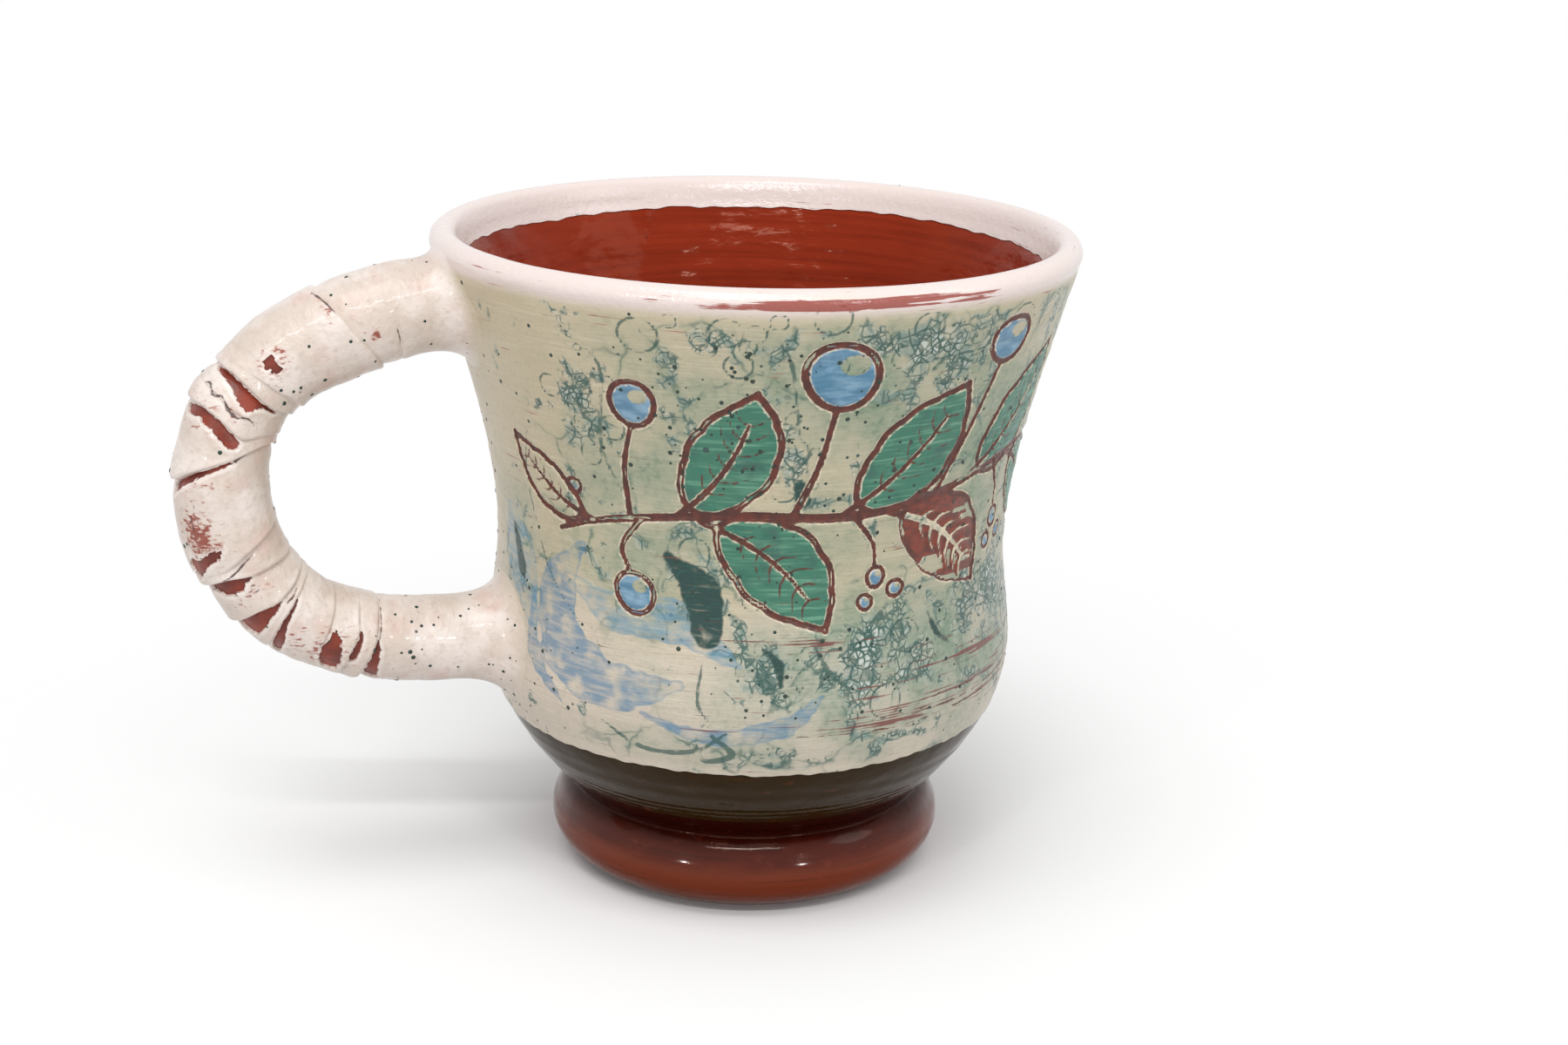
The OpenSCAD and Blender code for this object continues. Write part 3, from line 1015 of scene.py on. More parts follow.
@dataclass(frozen=True)
class Stroke:
    """A line on the wall through points of [way round, height], with half widths along it."""

    points: tuple[Pair, ...]
    half_widths: tuple[float, ...]

    def line(self, count: int = 40) -> tuple[Array, Array]:
        """Gives the line's points and half widths, closely spaced and smooth.

        Args:
            count: Number of points.

        Returns:
            The points, and the half width at each.
        """
        knots = np.array(self.points, float)
        knots = np.vstack([2 * knots[0] - knots[1], knots, 2 * knots[-1] - knots[-2]])
        spans = len(self.points) - 1
        place = np.linspace(0, spans, count)
        i = np.minimum(place.astype(int), spans - 1)
        t = (place - i)[:, None]
        a, b, c, d = knots[i], knots[i + 1], knots[i + 2], knots[i + 3]
        points = 2 * b + (c - a) * t + (2 * a - 5 * b + 4 * c - d) * t**2
        points = (points + (3 * b - a - 3 * c + d) * t**3) / 2
        share = place / spans
        by_hand = 1 + HAND.at(share)
        return points, by_hand * np.interp(share, np.linspace(0, 1, len(self.half_widths)), self.half_widths)


def line_depth(x: Array, z: Array, points: Array, half_widths: Array, far: float) -> Array:
    """Gives how deep places lie inside a line that has a width.

    Args:
        x: Places along the first axis.
        z: Places along the second axis.
        points: Points of the line.
        half_widths: Half width of the line at each point.
        far: Depth outside the line at which the answer stops.

    Returns:
        Distances to the line's edge, positive inside it.
    """
    best = np.full(x.shape, -far)
    for i in range(len(points) - 1):
        step = points[i + 1] - points[i]
        t = np.clip(((x - points[i, 0]) * step[0] + (z - points[i, 1]) * step[1]) / (step @ step), 0, 1)
        gap = np.hypot(x - points[i, 0] - step[0] * t, z - points[i, 1] - step[1] * t)
        best = np.maximum(best, half_widths[i] + (half_widths[i + 1] - half_widths[i]) * t - gap)
    return best


@dataclass(frozen=True)
class Leaf:
    """A pointed leaf from its base to its tip, bowed to one side."""

    base: Pair
    tip: Pair
    half_width: float
    bow: float
    fill: LeafFill

    def midrib(self) -> Stroke:
        """Gives the leaf's middle line.

        Returns:
            A stroke with the blade's half widths.
        """
        base, tip = np.array(self.base), np.array(self.tip)
        along = tip - base
        side = np.array([-along[1], along[0]])
        places = [base + along * t + side * self.bow * 4 * t * (1 - t) for t in (0, 0.25, 0.5, 0.75, 1)]
        blade = np.clip((np.linspace(0, 1, 25) - 0.09) / 0.91, 0, 1)
        widths = self.half_width * np.abs(np.sin(math.pi * blade**0.9)) ** 1.1
        return Stroke(tuple((float(p[0]), float(p[1])) for p in places), tuple(widths))


@dataclass(frozen=True)
class Berry:
    """A carved round berry, filled with blue round a pale glint."""

    centre: Pair
    radius: float
    pale_side: float = 0.32


@dataclass(frozen=True)
class Patch:
    """A soft-edged blot on the wall."""

    centre: Pair
    half_sizes: Pair
    weight: float = 1.0


class Wall:
    """Places on the wall as way round from the front and height, in millimetres, and what is drawn there."""

    FAR = 3.0
    HALF_LINE = 0.43

    def __init__(self, way: Array, height: Array, round_length: float) -> None:
        """Keeps the places.

        Args:
            way: Ways round from the front.
            height: Heights up the wall, and on over the lip.
            round_length: Length of the whole way round.
        """
        self.way, self.height, self.round_length = way, height, round_length
        depths = ("cut", "score", "leaf", "berry", "bare", "brush", "wet", "ink", "ring")
        self.values = {name: np.full(way.shape, -self.FAR) for name in depths}
        self.values |= {name: np.zeros(way.shape) for name in ("foam", "wash", "streak", "speck")}
        self.values["over"] = smooth(height, 90, 91)

    def beside(self, x: float) -> Array:
        """Gives each place's way from x, taken round the shorter side."""
        away = self.way - x
        return away - self.round_length * np.round(away / self.round_length)

    def from_line(self, points: Array, half_widths: Array) -> tuple[Array, Array]:
        """Gives the depth inside a line, for the places that are near it.

        Args:
            points: Points of the line.
            half_widths: Half width of the line at each point.

        Returns:
            The numbers of the places, and how far inside the line's edge each is.
        """
        middle = float(points[:, 0].mean())
        away = self.beside(middle)
        margin = self.FAR + float(half_widths.max())
        reach = float(np.abs(points[:, 0] - middle).max()) + margin
        low, high = points[:, 1].min() - margin, points[:, 1].max() + margin
        near = np.flatnonzero((np.abs(away) < reach) & (self.height > low) & (self.height < high))
        return near, line_depth(away[near] + middle, self.height[near], points, half_widths, self.FAR)

    def raise_to(self, name: str, amount: Array, near: Array | slice = slice(None)) -> None:
        """Raises one of the values to an amount, at some of the places."""
        self.values[name][near] = np.maximum(self.values[name][near], amount)

    def draw(self, name: str, stroke: Stroke) -> None:
        """Draws a stroke into one of the values, or leaves it standing in a scraped place.

        Args:
            name: Name of the value.
            stroke: The stroke.
        """
        near, depth = self.from_line(*stroke.line())
        if name == "bare":
            self.values[name][near] = np.minimum(self.values[name][near], -depth)
        else:
            self.raise_to(name, depth, near)

    def carve_leaf(self, leaf: Leaf) -> None:
        """Carves a leaf's outline, midrib and side veins, and fills it.

        Args:
            leaf: The leaf.
        """
        points, widths = leaf.midrib().line(48)
        near, depth = self.from_line(points, widths)
        self.raise_to("cut", self.HALF_LINE - np.abs(depth), near)
        rib, vein = "cut", "score"
        if leaf.fill is LeafFill.TEAL:
            self.raise_to("leaf", depth - 0.25, near)
        if leaf.fill is LeafFill.BARE:
            self.raise_to("bare", depth, near)
            rib = vein = "bare"
        self.draw(rib, Stroke(tuple(map(tuple, points[1:40:6])), (0.44, 0.36, 0.3, 0.2)))
        for i in range(12, 42, 5):
            along = unit(points[i + 1] - points[i - 1])
            reach = 0.66 * widths[i]
            for side in (-reach, reach):
                out = np.array([-along[1], along[0]]) * side
                middle = points[i] + along * reach * 0.25 + out * 0.55
                end = points[i] + along * reach * 0.85 + out
                self.draw(vein, Stroke((tuple(points[i]), tuple(middle), tuple(end)), (0.18, 0.16, 0.06)))

    def carve_berry(self, berry: Berry) -> None:
        """Carves a ring, fills it with blue, and leaves a pale glint in it.

        Args:
            berry: The ring.
        """
        x, z = self.beside(berry.centre[0]), self.height - berry.centre[1]
        turn = np.arctan2(z, x)
        radius = berry.radius * (1 + 0.05 * np.sin(2 * turn + berry.centre[0]) + 0.02 * np.sin(3 * turn))
        inside = radius - np.hypot(x, z)
        self.raise_to("cut", 0.24 + 0.05 * berry.radius - np.abs(inside))
        glint = berry.radius * berry.pale_side
        lit = glint - np.hypot((x - 0.3 * berry.radius) * 0.8, z - 0.36 * berry.radius)
        self.raise_to("berry", np.minimum(inside - 0.2, -lit))
        for name in ("leaf", "brush", "wet"):
            self.values[name][inside > -0.4] = -self.FAR

    def blow_bubbles(self, patch: Patch, random: np.random.Generator) -> None:
        """Draws the rims of a few large bubbles that lie side by side in a patch of foam.

        Args:
            patch: The patch of foam.
            random: Source of their places and sizes.
        """
        placed: list[tuple[float, float, float]] = []
        for _ in range(90):
            x = patch.centre[0] + patch.half_sizes[0] * random.normal(0, 0.55)
            z = patch.centre[1] + patch.half_sizes[1] * random.normal(0, 0.55)
            radius = random.uniform(0.45, 1.0) ** 2 * 2.3
            if len(placed) < 11 and all(math.hypot(x - a, z - b) > 0.92 * (radius + r) for a, b, r in placed):
                placed.append((x, z, radius))
        for x, z, radius in placed:
            gap = np.abs(np.hypot(self.beside(x), self.height - z) - radius)
            self.raise_to("ring", 0.1 + 0.05 * radius - gap)

    def blot(self, name: str, patch: Patch) -> None:
        """Lays a soft blot into one of the values.

        Args:
            name: Name of the value.
            patch: The blot.
        """
        x = self.beside(patch.centre[0]) / patch.half_sizes[0]
        z = (self.height - patch.centre[1]) / patch.half_sizes[1]
        self.raise_to(name, patch.weight * np.exp(-(x**2 + z**2)))


@dataclass(frozen=True)
class Decoration:
    """A spray of leaves and berries carved round the wall, over brush strokes, washes and foam."""

    stem: Stroke = Stroke(
        ((-28, 56.5), (-21, 59), (-12, 60.8), (0, 61.8), (14, 61.4), (28, 63.4), (42, 66.2), (54, 66),
         (68, 63), (84, 62), (100, 65), (118, 66), (136, 63), (152, 64.5)),
        (0.3, 0.55, 0.62, 0.6, 0.55, 0.6, 0.5, 0.5, 0.5, 0.4),
    )
    leaves: tuple[Leaf, ...] = each(
        Leaf,
        ((-21.5, 58.8), (-35, 68.5), 3.1, 0.1, LeafFill.OPEN),
        ((-9.5, 61.2), (0.5, 79), 4.9, -0.1, LeafFill.TEAL),
        ((-6.5, 60.8), (10.5, 45.5), 5.2, 0.1, LeafFill.TEAL),
        ((12, 61.8), (27, 78.5), 5.3, -0.08, LeafFill.TEAL),
        ((18.5, 61.4), (36.5, 48.5), 5, 0.1, LeafFill.BARE),
        ((31, 64.2), (45.5, 81), 4.9, -0.1, LeafFill.TEAL), ((41.5, 65.6), (59, 51), 5, 0.1, LeafFill.TEAL),
        ((138, 63.4), (151, 77), 4, -0.1, LeafFill.OPEN),
    )
    stalks: tuple[Stroke, ...] = each(
        Stroke,
        (((5.5, 62), (8.2, 69), (9.6, 77)), (0.5, 0.4, 0.34)),
        (((-16, 60), (-16.2, 67), (-14.6, 73.6)), (0.45, 0.38, 0.3)),
        (((-14.5, 60.2), (-17.5, 56), (-16.4, 52.4)), (0.45, 0.38, 0.3)),
        (((25.5, 63), (29.5, 72), (31.8, 80.4)), (0.5, 0.38, 0.3)),
        (((13.6, 61.2), (16.6, 57.2), (17.2, 53.6)), (0.4, 0.3, 0.25)),
        (((37.6, 65.2), (40.2, 61), (41.2, 57.6)), (0.4, 0.3, 0.25)),
    )
    berries: tuple[Berry, ...] = each(
        Berry,
        ((9.8, 81.2), 4.3), ((-14.2, 76.5), 2.9), ((-15.8, 49.7), 2.8), ((32.6, 83.6), 3.2),
        ((17.4, 52.4), 1.35), ((20.6, 50.4), 1.2), ((16, 49), 1.05), ((-24.5, 63.2), 1.1),
        ((41.6, 56.2), 1.4), ((44.4, 53.6), 1.1), ((40.2, 53), 1.1),
    )
    sprigs_from: float = 53.0
    sprig_step: float = 14.3
    sprig_count: int = 6
    sprig_leaf: Pair = (15.6, 14.6)
    sprig_gap: float = 4.4
    sprig_reach: float = 11.5
    sprig_berry_r: float = 2.9
    brush: tuple[Stroke, ...] = each(
        Stroke,
        (((-24, 55), (-29, 48), (-27.5, 40.5), (-19, 36.5), (-9, 38)), (0.6, 3.4, 4, 3.6, 0.8)),
        (((-27, 50), (-19, 46.6), (-10, 46.4), (-1, 41)), (0.6, 2.6, 3, 0.5)),
        (((-14, 33.6), (-5, 31.2), (5, 33), (10, 37)), (0.4, 1.3, 1.6, 0.4)),
        (((-41, 56), (-39, 50), (-34, 42)), (1.2, 4.4, 1.2)),
        (((-34.5, 47), (-33, 38), (-27, 32.5)), (0.5, 1.6, 0.4)),
        (((58, 42), (68, 37), (82, 38), (92, 43)), (0.6, 3.4, 3.6, 0.6)),
        (((118, 43), (128, 38), (141, 38), (152, 43)), (0.6, 3.6, 3.2, 0.6)),
        (((-62, 76), (-71, 71), (-82, 73)), (0.6, 3.2, 0.5)),
        (((-64, 44), (-72, 39), (-82, 42)), (0.6, 2.6, 0.5)),
    )
    ink: tuple[Stroke, ...] = each(
        Stroke,
        (((-11, 55.5), (-6.5, 51), (-5.4, 45)), (0.7, 2.6, 2)),
        (((2, 43.4), (4, 41.4), (4.4, 38.4)), (0.3, 0.85, 0.4)), (((-40, 53.5), (-38, 48)), (0.8, 1.3)),
        (((26.5, 46), (28, 43), (30.4, 41)), (0.3, 0.6, 0.3)), (((6, 66), (6.6, 63.8)), (0.9, 1)),
        (((86, 46), (89, 42), (92, 40)), (0.5, 1.8, 0.6)),
        (((-74, 60), (-77, 54), (-76, 49)), (0.5, 1.7, 0.6)),
    )
    rings: tuple[Stroke, ...] = each(
        Stroke,
        (((-20, 31.5), (-14, 28.6), (-7, 29), (-2.5, 32)), (0.2, 0.4, 0.36, 0.2)),
        (((-4.5, 31.5), (-1.8, 28.8), (-5.5, 27.6), (-6.6, 30)), (0.3, 0.5, 0.4, 0.3)),
        (((-30, 74), (-34, 62), (-31, 50), (-22, 42)), (0.1, 0.22, 0.22, 0.1)),
        (((-20, 84), (-17.6, 80.6), (-19, 70), (-16.5, 63)), (0.1, 0.3, 0.28, 0.15)),
        (((2, 86), (4, 83), (5.6, 72)), (0.2, 0.3, 0.12)),
        (((8, 45), (11, 40), (14, 36.5), (15, 33)), (0.2, 0.3, 0.3, 0.15)),
        (((-6, 41), (-6.4, 36), (-4.6, 33)), (0.2, 0.28, 0.15)),
        (((124, 33), (130, 29.5), (138, 31)), (0.15, 0.35, 0.15)),
        (((-84, 34), (-92, 29.5), (-98, 32)), (0.15, 0.35, 0.15)),
    )
    scratches: tuple[Stroke, ...] = each(
        Stroke,
        (((2, 31.6), (18, 31.2), (36, 31.8), (58, 32.4)), (0.02, 0.16, 0.14, 0.02)),
        (((10, 32.9), (30, 32.6), (52, 33.4), (72, 33.2)), (0.02, 0.14, 0.2, 0.03)),
        (((20, 34.2), (40, 34.2), (62, 35.2)), (0.02, 0.18, 0.03)),
        (((28, 29.8), (44, 30.2), (60, 30.6)), (0.02, 0.12, 0.02)),
        (((90, 32.4), (112, 32), (134, 32.6)), (0.02, 0.16, 0.02)),
        (((-60, 31.8), (-82, 32.2), (-104, 31.6)), (0.02, 0.16, 0.02)),
    )
    foam: tuple[Patch, ...] = each(
        Patch,
        ((18.7, 85), (8.5, 3.6), 1.1), ((25, 82), (4.5, 4), 0.9), ((18, 41.5), (7.4, 6.2), 1.15),
        ((34, 45.5), (6.5, 6)), ((43, 46), (9, 8), 1.2), ((4, 39.5), (4.5, 3.2), 0.95),
        ((55, 41), (9, 7), 1.1), ((4, 70), (3, 4), 0.8), ((-22, 76), (5, 7), 0.75),
        ((46, 84), (6, 3.4), 0.8), ((-3, 85.5), (5, 2.4), 0.75), ((-5, 53), (5, 4), 0.7),
        ((84, 84.5), (9, 3.6)), ((98, 44), (9, 6), 1.1), ((114, 84), (7, 4), 0.9), ((-78, 48), (8, 7)),
        ((-92, 82), (8, 4), 0.9), ((68, 56), (5, 6), 0.8), ((130, 44), (8, 6), 0.9),
        ((-66, 62), (6, 7), 0.7),
    )
    washes: tuple[Patch, ...] = each(
        Patch,
        ((14, 78), (26, 12), 1.1), ((34, 66), (30, 22)), ((-14, 62), (14, 16), 0.85),
        ((26, 41), (28, 13), 1.35), ((96, 70), (36, 20)), ((-92, 62), (26, 22), 0.9),
        ((-38, 52), (8, 10), 0.6), ((8, 29), (30, 3.4), 0.6), ((134, 60), (22, 20), 0.9),
    )
    streaks: tuple[Patch, ...] = each(
        Patch,
        ((17, 32.4), (19, 1.4), 0.62), ((34, 34), (16, 1.6), 0.56), ((9, 43.8), (8, 1.3), 0.62),
        ((38, 38.4), (11, 1.6), 0.72), ((9.5, 90.9), (13.5, 0.85), 2), ((46, 33), (12, 2.6), 0.52),
        ((78, 33), (18, 1.8), 0.62), ((112, 91), (11, 0.8), 1.6), ((-96, 33), (20, 1.6), 0.62),
        ((24, 90.5), (5, 0.5), 1.2), ((24, 37.5), (16, 5), 0.36),
    )
    specks: tuple[Patch, ...] = each(
        Patch,
        ((-1, 77), (17, 10), 1.9), ((10, 44), (28, 11), 1), ((-34, 36), (10, 14), 1.1),
        ((-38, 62), (7, 24), 0.5), ((8, 66), (14, 14), 1.1), ((94, 60), (44, 28), 0.75),
        ((-90, 55), (44, 30), 0.75), ((40, 62), (24, 26), 0.6),
    )

    def sprigs(self) -> tuple[list[Leaf], list[Stroke], list[Berry]]:
        """Makes the spray's far side: leaves by turns above and below the stem, each across from a berry.

        Returns:
            The leaves, the stalks and the berries.
        """
        leaves, stalks, berries = [], [], []
        stem = self.stem.line(200)[0]
        fills = (LeafFill.BARE, LeafFill.TEAL, LeafFill.TEAL)
        for i in range(self.sprig_count):
            x = self.sprigs_from + self.sprig_step * i
            up = 1 if i % 2 == 0 else -1
            base = (x, float(np.interp(x, *stem.T)))
            long, tall = self.sprig_leaf
            tip = (x + long + 0.9 * math.sin(5 * i), base[1] + up * tall + 0.8 * math.sin(3 * i + 1))
            leaves.append(Leaf(base, tip, 4.8, -0.1 * up, fills[i % 3]))
            x += self.sprig_gap
            low = float(np.interp(x, *stem.T))
            reach = self.sprig_reach + 2.6 * math.sin(7 * i + 2)
            stalk = ((x, low), (x + 2.4, low - up * reach * 0.5), (x + 3.2, low - up * reach))
            stalks.append(Stroke(stalk, (0.45, 0.3)))
            radius = self.sprig_berry_r + 0.6 * math.sin(4 * i)
            berries.append(Berry((x + 3.4, low - up * (reach + radius - 0.2)), radius))
        return leaves, stalks, berries

    def draw(self, wall: Wall) -> None:
        """Draws everything on the wall.

        Args:
            wall: The places that take the drawing.
        """
        leaves, stalks, berries = self.sprigs()
        for leaf in (*self.leaves, *leaves):
            wall.carve_leaf(leaf)
        layers = {
            "cut": (self.stem, *self.stalks, *stalks), "score": self.scratches, "brush": self.brush[::2],
            "wet": self.brush[1::2], "ink": self.ink, "ring": self.rings,
        }
        for name, strokes in layers.items():
            for stroke in strokes:
                wall.draw(name, stroke)
        random = np.random.default_rng(17)
        for patch in self.foam:
            wall.blow_bubbles(patch, random)
        for berry in (*self.berries, *berries):
            wall.carve_berry(berry)
        blots = {"foam": self.foam, "wash": self.washes, "streak": self.streaks, "speck": self.specks}
        for name, patches in blots.items():
            for patch in patches:
                wall.blot(name, patch)
        wall.values["speck"] *= 1 - 0.8 * smooth(wall.height, 85, 90)


@dataclass(frozen=True)
class SlipCoat:
    """Cream slip over the outside and the lip: its net of points, its edges and the carving in it."""

    shape: CupShape
    decoration: Decoration = Decoration()
    front_columns: int = 292
    back_columns: int = 190
    front_from: float = -76.0
    front_to: float = 82.0
    wall_rows: int = 156
    lip_rows: int = 14
    inner_rows: int = 9
    under_rows: int = 9
    under_t: float = 0.36
    carve_depth: float = 0.3
    scrape_depth: float = 0.26
    score_depth: float = 0.12
    worn_depth: float = 0.05
    burr_h: float = 0.07
    fill_h: float = 0.03
    edge_h: float = 0.09
    pattern_r: float = 37.0

    def columns(self) -> Array:
        """Gives the angles from the front, closer together where the pattern is finest.

        Returns:
            The angles, all the way round.
        """
        front = np.linspace(self.front_from, self.front_to, self.front_columns, endpoint=False)
        back = np.linspace(self.front_to, self.front_from + 360, self.back_columns, endpoint=False)
        return np.radians(np.concatenate([front, back]))

    def outline(self, angle: Array) -> tuple[Array, Array, Array]:
        """Gives the slip's face, row by row, before anything is carved.

        Args:
            angle: Angles of the columns, from the front.

        Returns:
            The points as radius and height, the heights up the wall and over the lip, and the normals.
        """
        shape = self.shape
        foot_z = shape.lip_foot[1]
        t = np.linspace(0, 1, self.wall_rows)[:, None]
        drift = round_wave(angle, 5, (2, 3, 5), 0.3) + round_wave(angle, 6, (23, 37, 61, 89), 0.2)
        low = shape.slip_edge_z + 0.3 + drift[None]
        z = low + (foot_z - low) * t
        rows = [shape.wall_point(z, shape.slip_t)]
        heights = [z]
        turn = np.linspace(-shape.lip_angle, math.pi - shape.lip_angle, self.lip_rows)[1:]
        lip = shape.lip_point(turn, shape.slip_t)
        rows.append(np.broadcast_to(lip[:, None], (len(turn), len(angle), 2)))
        reach = shape.lip_r + shape.slip_t
        over_lip = foot_z + (turn + shape.lip_angle)[:, None] * reach
        heights.append(np.broadcast_to(over_lip, (len(turn), len(angle))))
        drift = round_wave(angle, 8, (2, 3, 7), 0.35) + round_wave(angle, 9, (17, 29, 43, 71), 0.25)
        end = shape.slip_inner_z + drift[None]
        t = np.linspace(0, 1, self.inner_rows + 1)[1:, None]
        z = foot_z + (end - foot_z) * t
        rows.append(shape.inner_point(z, shape.slip_t))
        heights.append(foot_z + math.pi * reach + (foot_z - z))
        points = np.concatenate(rows)
        step = np.gradient(points, axis=0)
        return points, np.concatenate(heights), unit(np.stack([step[..., 1], -step[..., 0]], -1))

    def relief(self, wall: Wall, height: Array, angle: Array) -> Array:
        """Gives how far each point of the face is moved out.

        Args:
            wall: What is drawn on the wall.
            height: Heights up the wall, by row and column.
            angle: Angles of the columns.

        Returns:
            The distances, by row and column.
        """
        shape = self.shape
        across = angle[None]
        rings = Ripple(3, (2.1, 3.3, 5.2, 8.9), 0.07, 0.7).at(height, across)
        lobes = round_wave(across, 4, (2, 3, 5), 0.1) * smooth(height, 26, 40) * (1 - smooth(height, 70, 86))
        joint = np.abs(to_half_turn(across + FRONT - HANDLE))
        between_joints = smooth(13 - np.abs(height - 60.5), 0, 4)
        free = np.maximum(smooth(joint * shape.waist_r, 10, 17), between_joints)
        drawn = {name: values.reshape(height.shape) for name, values in wall.values.items()}
        groove = smooth(drawn["cut"], -0.12, 0.34)
        burr = np.exp(-(((drawn["cut"] + 0.28) / 0.2) ** 2))
        scraped, scored = smooth(drawn["bare"], -0.15, 0.35), smooth(drawn["score"], -0.15, 0.15)
        fill, worn = smooth(drawn["leaf"], 0.2, 0.6), np.clip(drawn["streak"] - 0.5, 0, 1)
        edge = np.exp(-(((height - height[:1] - 0.35) / 0.35) ** 2))
        out = (rings + lobes - 0.1 * smooth(height, 76, 86)) * free
        shallow = self.scrape_depth * scraped + self.score_depth * scored
        out -= self.carve_depth * groove + shallow * (1 - groove)
        raised = self.burr_h * burr * (1 - scraped) + self.fill_h * fill + self.edge_h * edge
        out += raised - self.worn_depth * worn
        over_lip = smooth(height, 86, 89)
        return out * (1 - over_lip) + np.minimum(out, 0) * over_lip

    def make(self, material: Material) -> Piece:
        """Builds the slip coat.

        Args:
            material: Its material.

        Returns:
            The finished piece.
        """
        angle = self.columns()
        points, height, normal = self.outline(angle)
        way = to_half_turn(angle) * self.pattern_r
        wall = Wall(np.tile(way, len(height)), height.ravel(), TURN * self.pattern_r)
        self.decoration.draw(wall)
        face = points + normal * self.relief(wall, height, angle)[..., None]
        # The slip's back follows the clay, with fewer rows
        rows = np.linspace(len(points) - 1, 0, self.under_rows + 2).round().astype(int)
        back = (points - normal * self.under_t)[rows]
        net = np.concatenate([face, back])
        azimuth = angle[None] + FRONT
        net = np.stack([net[..., 0] * np.cos(azimuth), net[..., 0] * np.sin(azimuth), net[..., 1]], -1)
        fields = {}
        for name, values in wall.values.items():
            values = values.reshape(height.shape)
            fields[name] = np.concatenate([values, values[rows] * (name != "speck")]).ravel()
        numbers = np.arange(net[..., 0].size).reshape(len(net), -1)[[0, len(face) - 1, len(face), -1]]
        hard = np.stack([numbers, np.roll(numbers, -1, 1)], -1).reshape(-1, 2)
        quads = net_faces(*net.shape[:2], closed=True)
        piece = make_piece("slip_coat", net.reshape(-1, 3), [quads], fields, hard)
        return settle(piece, material, Slot.SLIP, "body_slip")


def start_group(name: str, inputs: dict[str, str]) -> tuple[Tree, dict[str, Value]]:
    """Starts a Geometry Nodes tree with named inputs.

    Args:
        name: Name of the tree.
        inputs: Kind of each input by its name.

    Returns:
        The tree, and its inputs' values by name.
    """
    group = bpy.data.node_groups.new(name, "GeometryNodeTree")
    for key, kind in inputs.items():
        group.interface.new_socket(key, in_out="INPUT", socket_type="NodeSocket" + kind)
    group.interface.new_socket("Geometry", in_out="OUTPUT", socket_type="NodeSocketGeometry")
    tree = Tree(group)
    start = tree.add("NodeGroupInput")
    return tree, {key: Value(tree, start.outputs[key]) for key in inputs}


def end_group(tree: Tree, geometry: Value, material: Value) -> NodeTree:
    """Ends a Geometry Nodes tree with plain geometry and its material.

    Args:
        tree: The tree.
        geometry: What it makes.
        material: Material of the result.

    Returns:
        The node group.
    """
    smoothed = tree.give("GeometryNodeSetShadeSmooth", {"Geometry": geometry})
    real = tree.give("GeometryNodeRealizeInstances", {0: smoothed})
    dressed = tree.give("GeometryNodeSetMaterial", {"Geometry": real, "Material": material})
    tree.add("NodeGroupOutput", {0: dressed})
    return tree.tree


def grow(piece: Piece, tree: NodeTree, values: dict[str, object]) -> Piece:
    """Runs a Geometry Nodes tree on a piece and keeps the result as a plain mesh.

    Args:
        piece: The piece.
        tree: The tree.
        values: Values of the tree's inputs by their names.

    Returns:
        The same piece.
    """
    modifier = piece.modifiers.new(tree.name, "NODES")
    modifier.node_group = tree
    for item in tree.interface.items_tree:
        if item.in_out == "INPUT" and item.name in values:
            modifier[item.identifier] = values[item.name]
    graph = bpy.context.evaluated_depsgraph_get()
    mesh = bpy.data.meshes.new_from_object(piece.evaluated_get(graph), depsgraph=graph)
    mesh.name = piece.name
    piece.modifiers.clear()
    piece.data = mesh
    return piece


def turning_tree(spin_r: float) -> NodeTree:
    """Builds the tree that spins an outline round the axis, with rings and a slight wobble.

    Args:
        spin_r: Radius at which the outline's own zero lies, in millimetres.

    Returns:
        The tree.
    """
    tree, given = start_group("turned_on_the_wheel", {
        "Geometry": "Geometry", "Sides": "Int", "Ring Spacing": "Float", "Ring Height": "Float",
        "Wobble": "Float", "Seed": "Float", "Material": "Material",
    })
    inputs = {"Resolution": given["Sides"], "Radius": spin_r * MM}
    circle = tree.give("GeometryNodeCurvePrimitiveCircle", inputs)
    line = tree.give("GeometryNodeMeshToCurve", {0: given["Geometry"]})
    spun = tree.give("GeometryNodeCurveToMesh", {"Curve": circle, "Profile Curve": line})
    spun = tree.give("GeometryNodeMergeByDistance", {"Geometry": spun, "Distance": 0.004 * MM})
    place = tree.add("ShaderNodeSeparateXYZ", {0: tree.give("GeometryNodeInputPosition")}).outputs
    x, y, z = (Value(tree, output) for output in place)

    def clouds(height: Value, vector: dict[str, Value]) -> Value:
        """Gives clouds between minus and plus half the height.

        Args:
            height: Whole height of the clouds.
            vector: Where they are read.

        Returns:
            The clouds.
        """
        where = tree.give("ShaderNodeCombineXYZ", vector)
        noise = tree.give("ShaderNodeTexNoise", {"Vector": where, "Scale": 1.0, "Detail": 1.0})
        return (noise - 0.5) * height

    ring = tree.math("DIVIDE", z, given["Ring Spacing"])
    rings = clouds(given["Ring Height"], {"X": given["Seed"], "Z": ring})
    blots = clouds(given["Wobble"], {"X": x * 25.0, "Y": y * 25.0, "Z": given["Seed"]})
    normal = tree.give("GeometryNodeInputNormal")
    push = tree.give("ShaderNodeVectorMath", {0: normal, "Scale": rings + blots}, operation="SCALE")
    moved = tree.give("GeometryNodeSetPosition", {"Geometry": spun, "Offset": push})
    return end_group(tree, moved, given["Material"])


